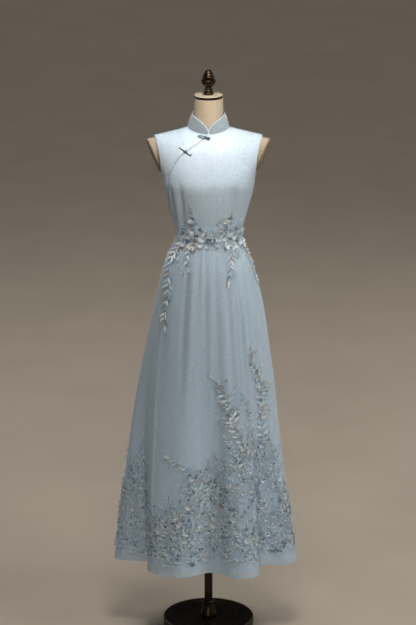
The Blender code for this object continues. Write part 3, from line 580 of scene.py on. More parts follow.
# %% The bodice's surface
BELOW_NECK = 1.55                         # a height that is surely below the neckline
EVEN_FROM, EVEN_TO = 1.45, 1.64           # heights over which the columns become evenly spaced
CREASE_FADE = 0.3                         # part of a crease's length over which its ends fade, in and out
Crease = namedtuple("Crease", "x z to_x to_z width height")
FRONT_CREASES = table(Crease, (
    (-0.090, 1.515, -0.078, 1.372, 0.0075, -0.0068), (-0.108, 1.510, -0.092, 1.372, 0.0060, 0.0020),
    (0.084, 1.510, 0.072, 1.372, 0.0095, -0.0080), (0.106, 1.500, 0.090, 1.372, 0.0060, 0.0018),
    (-0.126, 1.545, -0.102, 1.372, 0.0044, -0.0026), (-0.140, 1.560, -0.105, 1.590, 0.0050, -0.0012),
    (0.140, 1.562, 0.100, 1.596, 0.0055, -0.0013), (-0.050, 1.395, -0.015, 1.375, 0.0060, -0.0009),
    (0.020, 1.385, 0.055, 1.402, 0.0060, -0.0009), (-0.040, 1.640, -0.095, 1.655, 0.0080, -0.0007),
    (0.045, 1.638, 0.100, 1.655, 0.0080, -0.0007)))
BACK_CREASES = table(Crease, (
    (-0.070, 1.520, -0.058, 1.352, 0.0060, -0.0046), (0.072, 1.512, 0.060, 1.350, 0.0065, -0.0042),
    (-0.120, 1.470, -0.085, 1.440, 0.0060, -0.0022), (0.118, 1.476, 0.082, 1.430, 0.0060, -0.0020),
    (-0.045, 1.400, 0.020, 1.386, 0.0060, -0.0024), (-0.015, 1.426, 0.050, 1.412, 0.0055, -0.0018),
    (0.000, 1.655, 0.001, 1.345, 0.0016, -0.0012), (-0.140, 1.565, -0.095, 1.600, 0.0060, -0.0020),
    (0.138, 1.560, 0.090, 1.590, 0.0060, -0.0020)))


def crest(x, side):
    inside = max(0.0, 1 - (x / NECK_HALF) ** 2)
    return read(SHOULDER, "x", "z", abs(x)) + (BACK_NECK_RISE * inside if side > 0 else 0.0)


def bodice_depth(x, z, side):
    """How far the surface stands from the plane of the side seams: side is -1 in front, +1 behind."""
    half, power = read(BODICE, "z", "half", z), read(BODICE, "z", "power", z)
    depth = read(BODICE, "z", "front" if side < 0 else "back", z)
    across = max(0.0, 1 - (abs(x) / half) ** power) ** (1 / power)
    if z <= CHEST:
        return depth * across
    climb = min(1.0, (z - CHEST) / (crest(x, side) - CHEST))
    turn, slope = (FRONT_TURN, FRONT_SLOPE) if side < 0 else (BACK_TURN, 0.0)
    lean = slope * climb * climb / (climb + SLOPE_EASE)
    return depth * across * (1 - lean) * math.sqrt(max(0.0, 1 - climb**turn))


@functools.lru_cache(maxsize=None)
def top_height(column, side):
    """Height of the neckline or the shoulder seam at that column."""
    x = column * ARMHOLE[-1].x
    if abs(x) >= NECK_HALF - 1e-6:
        return crest(x, side)
    reach = (NECK_FRONT if side < 0 else NECK_BACK) * math.sqrt(max(0.0, 1 - (x / NECK_HALF) ** 2))
    return halved(BELOW_NECK, crest(x, side), lambda z: bodice_depth(x, z, side) > reach, rounds=30)


def edge_half(z):
    return read(BODICE, "z", "half", z) if z < ARMHOLE[0].z else read(ARMHOLE, "z", "x", z)


def bodice_point(column, row, side):
    """column runs -1 to 1 across; row runs 0 waist, 1 bust, 2 shoulder seam or neckline."""
    if row <= 1:
        z = WAIST + (BUST - WAIST) * row
    else:
        z = BUST + (top_height(column, side) - BUST) * math.sin(math.pi / 2 * min(1.0, row - 1))
    even = fade(EVEN_FROM, z, EVEN_TO)
    x = edge_half(z) * ((1 - even) * math.sin(math.pi / 2 * column) + even * column)
    return Vector((x, side * bodice_depth(x, z, side), z))


def on_bodice(column, row, side):
    """A point of the bodice and the way out of the cloth; on a side or shoulder seam that lies along y = 0."""
    step = 0.01
    here = bodice_point(column, row, side)
    across = bodice_point(min(1, column + step), row, side) - bodice_point(max(-1, column - step), row, side)
    up = bodice_point(column, min(2, row + step), side) - bodice_point(column, max(0, row - step), side)
    out = across.cross(up) * -side
    if abs(here.y) < 1e-5:
        slope = up if abs(up.z) > abs(across.z) and row < 2 else across
        out = Vector((slope.z, 0, -slope.x))
        out *= 1 if (out.x * here.x > 0 if row < 2 else out.z > 0) else -1
    return here, out.normalized()


def opening_column(row):
    """The column where the front opening crosses a row, or -1 below the opening's end."""
    def right_of_opening(column):
        point = bodice_point(column, row, -1)
        return point.x < read(OPENING, "z", "x", point.z)

    if bodice_point(-1, row, -1).z <= OPENING[0].z:
        return -1.0
    return halved(-1.0, 0.0, right_of_opening, rounds=26)


def crease_height(x, z, side):
    total = 0.0
    for crease in FRONT_CREASES if side < 0 else BACK_CREASES:
        run_x, run_z = crease.to_x - crease.x, crease.to_z - crease.z
        length = math.hypot(run_x, run_z)
        along = ((x - crease.x) * run_x + (z - crease.z) * run_z) / length**2
        away = ((x - crease.x) * run_z - (z - crease.z) * run_x) / length / crease.width
        if abs(away) < BELL and -CREASE_FADE < along < 1 + CREASE_FADE:
            ends = fade(-CREASE_FADE, along, CREASE_FADE) * fade(1 + CREASE_FADE, along, 1 - CREASE_FADE)
            total += crease.height * math.exp(-away * away) * ends
    return total


def on_front(x, z):
    """A point of the bodice's front with its directions around, up and out, and a scale of 1."""
    step = 0.002

    def at(x, z):
        return Vector((x, -bodice_depth(x, z, -1), z))

    around = at(x + step, z) - at(x - step, z)
    out = around.cross(at(x, z + step) - at(x, z - step)).normalized()
    point = at(x, z) + out * crease_height(x, z, -1)
    return Spot(point, around.normalized(), out.cross(around).normalized(), out, around.length / (2 * step))


print("neckline at centre front:", round(top_height(0.0, -1), 4), "and back:", round(top_height(0.0, 1), 4))

# %% [markdown]
# ## Sheets of cloth
# A panel is a grid of points, turned into a thin shell by Solidify. The shell grows inwards, so the grid is
# the right side of the cloth. The UV map is in metres from the panel's middle, and its second number is the
# height, which the sheer hem reads. Panels are separate pieces, as cut, and each seam is a narrow valley:
# the last column of each panel is turned in, which is what a pressed seam looks like.

# %% Make a shell from a grid
def steps(start, end, count):
    return [start + (end - start) * k / count for k in range(count + 1)]


def only(piece):
    bpy.ops.object.select_all(action="DESELECT")
    piece.select_set(True)
    bpy.context.view_layer.objects.active = piece


def applied(piece, kind, **sizes):
    """Adds a modifier, sets its sizes and applies it."""
    only(piece)
    modifier = piece.modifiers.new(kind.title(), kind)
    for key, value in sizes.items():
        setattr(modifier, key, value)
    bpy.ops.object.modifier_apply(modifier=modifier.name)
    return piece


def smoothed(piece, degrees):
    """Smooth shading, except across edges that are sharper than `degrees`."""
    only(piece)
    bpy.ops.object.shade_smooth_by_angle(angle=math.radians(degrees))
    return piece


def bevelled(piece, width, degrees):
    """Rounds every edge that is sharper than `degrees`."""
    applied(piece, "BEVEL", width=width, segments=3, limit_method="ANGLE", angle_limit=math.radians(degrees))


@contextmanager
def editing(piece):
    """Edit mode on one piece, for as long as the block lasts."""
    only(piece)
    bpy.ops.object.mode_set(mode="EDIT")
    yield
    bpy.ops.object.mode_set(mode="OBJECT")


def kept(piece, slot, *nodes):
    """A finished piece rides on the body and stands for its solids. Its `slot` is not used."""
    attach(piece, "root")
    if nodes:
        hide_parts(*nodes)
    return piece


def new_piece(name, points, faces, *finishes):
    """A piece from points and faces, and its UV map in metres, which is still to be filled in."""
    data = bpy.data.meshes.new(name)
    data.from_pydata(points, [], faces)
    for finish in finishes:
        data.materials.append(finish)
    return linked(name, data), data.uv_layers.new(name="weave").data


def panel(name, rows, finish, wall=CLOTH, flip=False):
    """A shell through rows of points. Seen from outside, rows run up and columns to the right."""
    columns, uvs, faces = len(rows[0]), [], []
    for row in rows:
        reach = [0.0]
        for first, second in zip(row, row[1:]):
            reach.append(reach[-1] + (second - first).length)
        uvs += [(length - reach[columns // 2], point.z) for length, point in zip(reach, row)]
    for r in range(len(rows) - 1):
        for a in range(r * columns, (r + 1) * columns - 1):
            quad = (a, a + 1, a + 1 + columns, a + columns)
            faces.append(quad[::-1] if flip else quad)
    piece, weave = new_piece(name, [point for row in rows for point in row], faces, finish)
    for loop in piece.data.loops:
        weave[loop.index].uv = uvs[loop.vertex_index]
    applied(piece, "SOLIDIFY", thickness=wall, offset=-1, use_even_offset=True, use_quality_normals=True)
    return smoothed(piece, 50)


def surface_out(rows, r, c, flip=False):
    """The outward direction at a point of a grid, from its neighbours."""
    around = rows[r][min(c + 1, len(rows[r]) - 1)] - rows[r][max(c - 1, 0)]
    up = rows[min(r + 1, len(rows) - 1)][c] - rows[max(r - 1, 0)][c]
    out = around.cross(up).normalized()
    return -out if flip else out


def flat_size(piece):
    """Area of one side of a shell, in square metres."""
    return sum(face.area for face in piece.data.polygons) / 2


print("ready to cut panels")

# %% [markdown]
# ### The skirt
# Five gores. Their columns are lines of cloth 1.25 degrees apart round the hip, so a column follows a fold
# down to the hem, as the warp does. Rows are 15 mm apart.

# %% Skirt panels
SKIRT_CUTS = [("skirt_front", -75, 60), ("skirt_side_left", 60, 115), ("skirt_back_left", 115, 180),
              ("skirt_back_right", -180, -125), ("skirt_side_right", -125, -75)]
SKIRT_ROWS, COLUMN_STEP = 74, 1.25
SEAM_TURN, SEAM_LIP = 0.0012, 0.35      # how deep a seam's valley is, and its width in degrees


def gore(name, first, last):
    lines = [first, first + SEAM_LIP]
    lines += [first + COLUMN_STEP * k for k in range(1, round((last - first) / COLUMN_STEP))]
    lines += [last - SEAM_LIP, last]
    low, high = HEM + 2 * HEM_ROLL - SEAM, WAIST - SEAM
    rows = []
    for z in steps(low, high, SKIRT_ROWS):
        row = [skirt_point(hip, z) for hip in lines]
        for c in (0, -1):
            row[c] = row[c] - Vector((row[c].x, row[c].y, 0)).normalized() * SEAM_TURN
        rows.append(row)
    rows[-1] = [point - Vector((point.x, point.y, 0)).normalized() * SEAM_TURN / 2 for point in rows[-1]]
    return kept(panel(name + "_cloth", rows, SKIRT_SATIN), "satin", name)


skirt_cloth = {name: gore(name, first, last) for name, first, last in SKIRT_CUTS}
for name, piece in skirt_cloth.items():
    print(name, len(piece.data.polygons), "faces", round(flat_size(piece), 3), "m2")

# %% [markdown]
# ### The bodice
# The front is cut in two: the large panel crosses over, and a small one lies under it at the wearer's right
# shoulder. The large panel's curved edge is folded and stands a little proud, and the small one goes on
# beneath it for a few millimetres, so the opening is a real step with a shadow in it.

# %% Bodice panels
BODICE_COLUMNS = 74
ARMHOLE_FOOT = 1.13       # row where the side seam ends and the armhole starts
UNDER = 0.0024            # how far the small panel lies below the large one where they cross
OVERLAP = 0.07            # how far it goes on under it, in columns
FOLDED_RISE, FOLDED_WIDTH = 0.0009, 0.0045           # how proud the large panel's folded edge stands


BODICE_LEVELS = steps(0, 1, 30) + steps(1, 2, 34)[1:]


def bodice_rows(side, columns_at, levels, lift):
    """Rows of points; lift(row, part across, point) moves each out along the surface."""
    rows = [[bodice_point(column, level, side) for column in columns_at(level)] for level in levels]
    lifted = []
    for r, row in enumerate(rows):
        line = []
        for c, point in enumerate(row):
            rise = crease_height(point.x, point.z, side) + lift(levels[r], c / (len(row) - 1), point)
            line.append(point + surface_out(rows, r, c, flip=side > 0) * rise)
        lifted.append(line)
    return lifted


def seam_dip(level, at_side):
    """How far cloth is turned in at the waist seam and at a side seam."""
    return (SEAM_TURN / 2 if level == 0 else 0) + (SEAM_TURN if at_side and level < ARMHOLE_FOOT else 0)


def front_lift(level, part, point):
    """The folded edge stands proud; the waist and the side seam are turned in."""
    away = (point.x - read(OPENING, "z", "x", point.z)) / FOLDED_WIDTH
    edge = FOLDED_RISE * math.exp(-away ** 2)
    return edge * fade(OPENING[0].z, point.z, OPENING[0].z + 0.02) - seam_dip(level, part == 1)


def under_lift(level, part, point):
    gap = read(OPENING, "z", "x", point.z) - point.x
    return -UNDER * fade(0.010, gap, 0.001)


def back_lift(level, part, point):
    return -seam_dip(level, part in (0, 1))


def front_columns(level):
    start = opening_column(level)
    return [start + 0.0008, start + 0.008] + steps(start, 1, BODICE_COLUMNS)[1:]


def under_columns(level):
    return steps(-1, min(opening_column(level) + OVERLAP, 0.02), 40)


under_levels = [level for level in BODICE_LEVELS if opening_column(level) > -0.985]
front_rows = bodice_rows(-1, front_columns, BODICE_LEVELS, front_lift)
under_rows = bodice_rows(-1, under_columns, under_levels, under_lift)
back_rows = bodice_rows(1, lambda level: steps(-1, 1, 80), BODICE_LEVELS, back_lift)
front_cloth = kept(panel("front_panel_cloth", front_rows, SATIN), "satin", "front_panel")
under_cloth = kept(panel("underlap_panel_cloth", under_rows, SATIN), "satin", "underlap_panel")
back_cloth = kept(panel("bodice_back_cloth", back_rows, SATIN, flip=True), "satin", "bodice_back")
for piece in (front_cloth, under_cloth, back_cloth):
    print(piece.name, len(piece.data.polygons), "faces", round(flat_size(piece), 3), "m2")

# %% [markdown]
# ### Rolled edges
# The armholes and the neck are bound with a bias strip rolled round a cord, and the hem is a narrow roll.
# Each is a tube that follows the cloth's edge. The tube's frame is carried along the path so that it never
# twists, and its UV map is in metres along and around.

# %% A tube along a path
def tube_rows(path, radius, sides=10, closed=False, lobes=0, twist=0.0, swell=0.0):
    """Rings of points along a path. With lobes, the section is that of a cord laid from as many strands."""
    last = len(path) - 1
    count = len(path)
    tangents = [(path[(k + 1) % count if closed else min(k + 1, last)] -
                 path[(k - 1) % count if closed else max(k - 1, 0)]).normalized() for k in range(count)]
    out = tangents[0].orthogonal().normalized()
    frames, reach = [], 0.0
    for k, tangent in enumerate(tangents):
        out = (out - tangent * out.dot(tangent)).normalized()
        frames.append((out.copy(), tangent.cross(out), reach))
        reach += (path[(k + 1) % count] - path[k]).length
    back = frames[0][0]
    carried = (out - tangents[0] * out.dot(tangents[0])).normalized()
    slip = math.atan2(back.cross(carried).dot(tangents[0]), back.dot(carried)) if closed else 0.0
    rings = []
    for k, (out, side, along) in enumerate(frames):
        ring, spin = [], -slip * k / count
        for s in range(sides):
            turn = 2 * math.pi * s / sides + spin
            size = radius * (1 + swell * math.cos(lobes * (turn + twist * along)))
            ring.append(path[k] + (out * math.cos(turn) + side * math.sin(turn)) * size)
        rings.append(ring)
    return rings


def ring_faces(count, sides, closed=False, start=0):
    """Faces that join rings of points. The ends are capped unless the rings make a loop."""
    faces = []
    for k in range(count if closed else count - 1):
        a, b = start + k * sides, start + (k + 1) % count * sides
        faces += [(a + s, a + (s + 1) % sides, b + (s + 1) % sides, b + s) for s in range(sides)]
    if not closed:
        last = start + (count - 1) * sides
        faces += [tuple(range(start, start + sides))[::-1], tuple(range(last, last + sides))]
    return faces


def tube(name, path, radius, finish, **shape):
    """A closed tube as its own piece."""
    closed = shape.get("closed", False)
    rings = tube_rows(path, radius, **shape)
    sides, count = len(rings[0]), len(rings)
    piece, weave = new_piece(name, [point for ring in rings for point in ring],
                             ring_faces(count, sides, closed), finish)
    length = sum((second - first).length for first, second in zip(path, path[1:]))
    for face in piece.data.polygons:
        for index in face.loop_indices:
            ring, side = divmod(piece.data.loops[index].vertex_index, sides)
            ring += count if closed and face.index >= (count - 1) * sides and ring == 0 else 0
            side += sides if side == 0 and face.index % sides == sides - 1 else 0
            weave[index].uv = (2 * math.pi * radius * side / sides, length * ring / count)
    return smoothed(piece, 50)


print("ready to roll edges")

# %% Hem roll and armhole bindings
ring = []
for hip in range(-180, 180):
    spot = on_skirt(hip, HEM + HEM_ROLL)
    ring.append(spot.point - spot.out * CLOTH / 2)
kept(tube("hem_roll_cord", ring, HEM_ROLL, HEM_SATIN, closed=True), "hem_edge", "hem_roll")


def edge_path(pairs, inset, closed=True):
    """The middle of a piping laid against an edge, `inset` below the cloth's right side."""
    last, path = len(pairs) - 1, []
    for k, (point, out) in enumerate(pairs):
        before = pairs[k - 1 if closed else max(k - 1, 0)][0]
        after = pairs[(k + 1) % len(pairs) if closed else min(k + 1, last)][0]
        path.append(point - out * inset + (after - before).cross(out).normalized() * (PIPING + 2 * SEAM))
    return path


ARMHOLE_LEVELS = steps(1.131, 1.42, 7) + steps(1.42, 2.0, 18)[1:]
for side_name, way in (("right", -1), ("left", 1)):
    name = "armhole_binding_" + side_name
    loop = [on_bodice(way, level, -1) for level in ARMHOLE_LEVELS]
    loop += [on_bodice(way, level, 1) for level in ARMHOLE_LEVELS[-2:0:-1]]
    path = edge_path(loop[::way], CLOTH / 2)
    kept(tube(name + "_cord", path, PIPING, PIPING_SATIN, closed=True), "piping", name)
    print(name, "is", round(sum((b - a).length for a, b in zip(path, path[1:])), 3), "m round")

# %% [markdown]
# ### The stand collar
# It is a stiffened band that leans in towards the neck and drops to rounded ends at centre front. Its foot
# follows the neckline's piping and its top a smaller oval. Between each end and the point where it reaches
# its full height, the height comes from a table. A piping rolls over the top edge and down both ends.

# %% Collar
CollarEdge = namedtuple("CollarEdge", "angle height")
COLLAR = table(CollarEdge, (
    (0, 0.004), (3, 0.0100), (6, 0.0170), (10, 0.0225), (17, 0.0290), (30, 0.0358), (45, 0.0392),
    (90, 0.0428), (180, 0.0430)))
COLLAR_FULL = 0.0428
COLLAR_WALL, COLLAR_TOP_HALF, COLLAR_TOP_DEPTH = 0.0018, 0.0515, 0.0510
COLLAR_BOW = 0.0012      # how far the band bows outwards between its edges
COLLAR_END = 2.0         # degrees from centre front to each end
END_BULGE = 1.2          # how far the piping bulges at the ends, in its own radii
NECK_POINTS, COLLAR_COLUMNS, COLLAR_LEVELS = 90, 144, 14

neckline = []
for k in range(NECK_POINTS):
    turn = 2 * math.pi * k / NECK_POINTS
    neckline.append(on_bodice(NECK_HALF * math.sin(turn) / ARMHOLE[-1].x, 2.0,
                              -1 if math.cos(turn) > -1e-9 else 1))
seam = edge_path(neckline[::-1], CLOTH / 2)[::-1]
kept(tube("neckline_piping_cord", seam, PIPING, PIPING_SATIN, closed=True), "piping", "neckline_piping")


def collar_line(angle):
    """The collar's foot and top at an angle from centre front."""
    turn, place = math.radians(angle), angle / 360 * NECK_POINTS
    foot = seam[int(place) % NECK_POINTS].lerp(seam[(int(place) + 1) % NECK_POINTS], place % 1)
    foot = foot + Vector((0, 0, PIPING + SEAM))
    height = read(COLLAR, "angle", "height", min(angle, 360 - angle))
    upper = Vector((COLLAR_TOP_HALF * math.sin(turn), -COLLAR_TOP_DEPTH * math.cos(turn), 0))
    top = foot.lerp(upper, height / COLLAR_FULL)
    return foot, Vector((top.x, top.y, foot.z + height))


angles = [COLLAR_END] + steps(0, 360, COLLAR_COLUMNS)[1:-1] + [360 - COLLAR_END]
lines = [collar_line(angle) for angle in angles]
rows = []
for part in steps(0, 1, COLLAR_LEVELS):
    bow = COLLAR_BOW * math.sin(math.pi * part)
    row = []
    for foot, top in lines:
        away = Vector((foot.x, foot.y, 0)).normalized()
        row.append(foot.lerp(top, part) + away * (bow * (top.z - foot.z) / COLLAR_FULL + COLLAR_WALL / 2))
    rows.append(row)
collar_cloth = kept(panel("collar_cloth", rows, SHADED_COLLAR_SATIN, wall=COLLAR_WALL), "satin", "collar")

top_pairs = []
for k, (foot, top) in enumerate(lines):
    run = lines[min(k + 1, len(lines) - 1)][1] - lines[max(k - 1, 0)][1]
    top_pairs.append((top, run.cross(top - foot).normalized()))
roll = edge_path(top_pairs[::-1], 0, closed=False)[::-1]
for end, (foot, top) in ((0, lines[0]), (-1, lines[-1])):
    away = (roll[end] - roll[1 if end == 0 else -2]).normalized()
    drop = [foot.lerp(roll[end], part) + away * PIPING * END_BULGE * math.sin(math.pi * part)
            for part in (0.1, 0.4, 0.7)]
    roll = drop + roll if end == 0 else roll + drop[::-1]
kept(tube("collar_piping_cord", roll, PIPING, PIPING_SATIN), "piping", "collar_piping")
print("collar:", round(flat_size(collar_cloth), 4), "m2, its piping", len(roll), "points")

# %% [markdown]
# ## The appliqué
# Thousands of small leaves would be slow to make by hand and heavy as objects. So a leaf, a petal and a bead
# are each modelled once, with a few dozen faces, and copied into one mesh for each part of the embroidery.
# Each copy is turned to lie along its stem, lifted a little, and given a thread colour.

# %% Shapes that repeat
Shape = namedtuple("Shape", "points faces uvs")


def leaf_shape(stations, cup, curl):
    """A leaf of length 1 along y: `stations` are (place along it, half-width). Its edges are thin."""
    points, faces, uvs = [Vector((0, 0, 0))], [], [(0.0, 0.0)]
    for along, half in stations:
        rise = curl * along * along
        for x, z in ((-half, cup * half), (0, 0.10 * half + 0.02), (half, cup * half), (0, -0.16 * half)):
            points.append(Vector((x, along, rise + z)))
            uvs.append((x, along))
    points.append(Vector((0, 1, curl)))
    uvs.append((0.0, 1.0))
    tip = len(points) - 1
    left, vein, right, under = 1, 2, 3, 4
    faces += [(0, vein, left), (0, right, vein), (0, left, under), (0, under, right)]
    for k in range(len(stations) - 1):
        a, b = 4 * k, 4 * k + 4
        faces += [(a + left, a + vein, b + vein, b + left), (a + vein, a + right, b + right, b + vein),
                  (a + under, a + left, b + left, b + under), (a + right, a + under, b + under, b + right)]
    a = 4 * (len(stations) - 1)
    faces += [(a + left, a + vein, tip), (a + vein, a + right, tip),
              (a + under, a + left, tip), (a + right, a + under, tip)]
    return Shape(points, faces, uvs)


def bead_shape(around=6, down=4):
    points, faces, uvs = [Vector((0, 0, 1))], [], [(0, 0)]
    for k in range(1, down):
        tilt = math.pi * k / down
        for s in range(around):
            turn = 2 * math.pi * s / around
            across = math.sin(tilt)
            points.append(Vector((across * math.cos(turn), across * math.sin(turn), math.cos(tilt))))
            uvs.append((0, 0))
    points.append(Vector((0, 0, -1)))
    uvs.append((0, 0))
    for s in range(around):
        t = (s + 1) % around
        faces.append((0, 1 + s, 1 + t))
        for k in range(down - 2):
            a = 1 + k * around
            faces.append((a + s, a + around + s, a + around + t, a + t))
        last = 1 + (down - 2) * around
        faces.append((len(points) - 1, last + t, last + s))
    return Shape(points, faces, uvs)


LEAF = leaf_shape([(0.16, 0.30), (0.42, 0.50), (0.72, 0.36)], cup=0.30, curl=0.10)
PETAL = leaf_shape([(0.20, 0.26), (0.50, 0.50), (0.82, 0.44)], cup=0.42, curl=0.30)
BEAD_SHAPE = bead_shape()
print("faces: leaf", len(LEAF.faces), "petal", len(PETAL.faces), "bead", len(BEAD_SHAPE.faces))

# %% [markdown]
# A tray collects the copies and turns them into one piece. It has two finishes, thread and glass, because
# beads sit among the leaves of every spray.

# %% Gather small shapes into one piece
SILVER, PALE, MIST = (0.80, 0.90, 0.97), (0.50, 0.66, 0.79), (0.64, 0.78, 0.88)
STEEL, SAND, CREAM = (0.20, 0.30, 0.39), (0.60, 0.56, 0.48), (0.88, 0.89, 0.86)
GOLD, PEARL = (0.74, 0.50, 0.24), (0.88, 0.88, 0.85)
LEAF_COLOURS = [SILVER] * 7 + [MIST] * 5 + [PALE] * 4 + [STEEL] * 2 + [SAND] + [CREAM] * 3
pick = random.Random(11)
THREAD, GLASS = 0, 1      # a tray's two finishes


class Tray:
    def __init__(self):
        self.points, self.faces, self.uvs, self.colours, self.finishes = [], [], [], [], []

    def add(self, shape, place, colour, width=1.0, length=1.0, finish=THREAD):
        start = len(self.points)
        self.points += [place @ Vector((p.x * width, p.y * length, p.z * length)) for p in shape.points]
        self.uvs += [(u * width, v * length) for u, v in shape.uvs]
        self.faces += [tuple(start + index for index in face) for face in shape.faces]
        self.colours += [colour] * len(shape.points)
        self.finishes += [finish] * len(shape.faces)

    def stem(self, path, radius, colour):
        start = len(self.points)
        for ring in tube_rows(path, radius, sides=4):
            self.points += ring
            self.uvs += [(0.001 * s, 0.0) for s in range(4)]
            self.colours += [colour] * 4
        self.faces += ring_faces(len(path), 4, start=start)
        self.finishes += [THREAD] * (len(self.faces) - len(self.finishes))

    def piece(self, name):
        made, weave = new_piece(name, self.points, self.faces, STITCHED, BEAD)
        data = made.data
        vertex_of = [0] * len(data.loops)
        data.loops.foreach_get("vertex_index", vertex_of)
        weave.foreach_set("uv", [value for index in vertex_of for value in self.uvs[index]])
        thread = data.color_attributes.new("thread", "FLOAT_COLOR", "POINT")
        thread.data.foreach_set("color", [value for colour in self.colours for value in (*colour, 1.0)])
        data.polygons.foreach_set("material_index", self.finishes)
        return smoothed(made, 42)


def sewn(tray, name, *nodes):
    """The tray's copies as one finished piece of lace."""
    piece = kept(tray.piece(name), "lace", *nodes)
    print(name, len(piece.data.polygons), "faces")


def laid(point, along, out, lift, tilt=0.0):
    """The place of a copy: its length along `along`, its top facing `out`, its tip tilted up."""
    across = along.cross(out).normalized()
    along = out.cross(across)
    if tilt:
        c, s = math.cos(tilt), math.sin(tilt)
        along, out = along * c + out * s, out * c - along * s
    place = Matrix((across, along, out)).transposed().to_4x4()
    place.translation = point + out * lift
    return place


def shade_of(colour, spread=0.12):
    change = 1 + pick.uniform(-spread, spread)
    return tuple(min(1.0, part * change) for part in colour)


print("thread colours:", len(set(LEAF_COLOURS)))

# %% [markdown]
# A sprig grows along a path on the cloth. Leaves leave the stem in pairs or by turns, and the stem's end
# carries one leaf straight on. `grown` makes such a path: it starts at a point, climbs with a
# heading, and turns a little at each step, as a real twig does.

# %% Sprigs, flowers and paths on the cloth
LIFT, LEAF_LIFT = 0.0012, 0.0003          # how far stems and petals, and a sprig's leaves, lie off the cloth


def spline(points, count):
    """A smooth curve through points, with count(first, second) places from each point to the next."""
    padded, places = [points[0], *points, points[-1]], []
    for a, b, c, d in zip(padded, padded[1:], padded[2:], padded[3:]):
        parts = count(b, c)
        for t in (k / parts for k in range(parts)):
            places.append(tuple(0.5 * (2 * q + (r - p) * t + (2 * p - 5 * q + 4 * r - s) * t * t
                                       + (3 * q - p - 3 * r + s) * t**3) for p, q, r, s in zip(a, b, c, d)))
    return places + [points[-1]]


def smooth_route(points, surface, spacing=0.004):
    """A smooth path through (around, z) places on a surface, as places about `spacing` metres apart."""
    return spline(points, lambda first, second:
                  max(2, round((surface(*first).point - surface(*second).point).length / spacing)))


def grown(start, heading, length, surface, wander=0.10, spacing=0.006):
    """A path that climbs from `start`; heading 0 is straight up and positive leans to the wearer's left."""
    place, places = start, [start]
    for _ in range(max(2, round(length / spacing))):
        metres = surface(*place).metres
        place = (place[0] + math.sin(heading) * spacing / max(metres, 0.0005),
                 place[1] + math.cos(heading) * spacing)
        if not HEM + SHEER * 0.8 < place[1]:
            break
        places.append(place)
        heading += pick.uniform(-wander, wander)
    return places


def sprig(tray, places, surface, leaf=0.013, pitch=0.010, angle=0.75, paired=True, stem=0.0007, taper=0.5,
          colours=LEAF_COLOURS, beads=0.25, width=0.36, lean=(0.10, 0.40)):
    """Stem, leaves and beads along places on a surface, from the foot to the tip. Each leaf's tip is tilted
    out from the cloth by an angle between the two in `lean`; where that is negative, its foot stands out."""
    spots = [surface(*place) for place in places]
    path = [spot.point + spot.out * (LIFT + stem * 0.5) for spot in spots]
    tray.stem(path, stem, shade_of(pick.choice((MIST, MIST, SILVER, PALE))))
    travelled, due, way = 0.0, pitch * 0.4, 1
    total = sum((b - a).length for a, b in zip(path, path[1:]))
    for k in range(len(path) - 1):
        travelled += (path[k + 1] - path[k]).length
        if travelled < due:
            continue
        due += pitch * pick.uniform(0.75, 1.25)
        out = spots[k].out
        along = (path[k + 1] - path[k]).normalized()
        across = along.cross(out).normalized()
        size = leaf * (1 - taper * travelled / total) * pick.uniform(0.75, 1.2)
        for side in ((1, -1) if paired else (way,)):
            open_by = angle * pick.uniform(0.7, 1.3)
            direction = along * math.cos(open_by) + across * side * math.sin(open_by)
            tilt = pick.uniform(*lean)
            tray.add(LEAF, laid(path[k], direction, out, LEAF_LIFT - min(0.0, tilt) * size * 0.8, tilt),
                     shade_of(pick.choice(colours)), width * size * pick.uniform(0.8, 1.25), size)
            if pick.random() < beads:
                reach = path[k] + direction * size * pick.uniform(0.9, 1.3)
                bead(tray, reach, out, pick.uniform(0.0009, 0.0015))
        way = -way
    along = (path[-1] - path[-2]).normalized()
    tray.add(LEAF, laid(path[-1], along, spots[-1].out, LEAF_LIFT, 0.1), shade_of(pick.choice(colours)),
             width * leaf, leaf * 0.9)


def bead(tray, point, out, radius, colour=None):
    colour = colour or pick.choice((GOLD, PEARL, PEARL, SAND))
    place = Matrix.Translation(point + out * radius * 0.8) @ Matrix.Scale(radius, 4)
    tray.add(BEAD_SHAPE, place, shade_of(colour), finish=GLASS)


PETALS, PETAL_TILT, DOUBLE = 5, 0.24, 0.009      # a flower larger than DOUBLE has a second, steeper row


def flower(tray, place, surface, radius=0.012, colour=SILVER, centre=3):
    """Petals round a few beads; two rows of petals if it is large."""
    point, around, up, out, _ = surface(*place)
    spin = pick.uniform(0, 2 * math.pi)

    def towards(turn):
        return around * math.cos(turn) + up * math.sin(turn)

    rows = [(radius, PETAL_TILT, 0.0), (radius * 0.58, PETAL_TILT * 2.2, math.pi / PETALS)]
    for size, lean, offset in rows if radius > DOUBLE else rows[:1]:
        for k in range(PETALS):
            direction = towards(spin + offset + 2 * math.pi * k / PETALS + pick.uniform(-0.12, 0.12))
            length = size * pick.uniform(0.88, 1.1)
            tray.add(PETAL, laid(point + direction * radius * 0.08, direction, out, LIFT,
                                 lean * pick.uniform(0.7, 1.3)), shade_of(colour, 0.14), length * 0.80, length)
    for k in range(centre):
        offset = towards(spin + 2 * math.pi * k / centre) * radius * 0.13
        bead(tray, point + out * 0.0022 + offset, out, radius * 0.085, pick.choice((PEARL, PEARL, STEEL, GOLD)))


print("ready to embroider")

# %% [markdown]
# ### The waist garland
# Flowers as wide as a coin sit in a row along the waist seam, close together at both sides of the front and
# sparser in the middle, with leaves between them, and two tufts climb the bodice. The table gives each
# flower's place: above the seam that is metres across and up, below it degrees round the hip and a height.

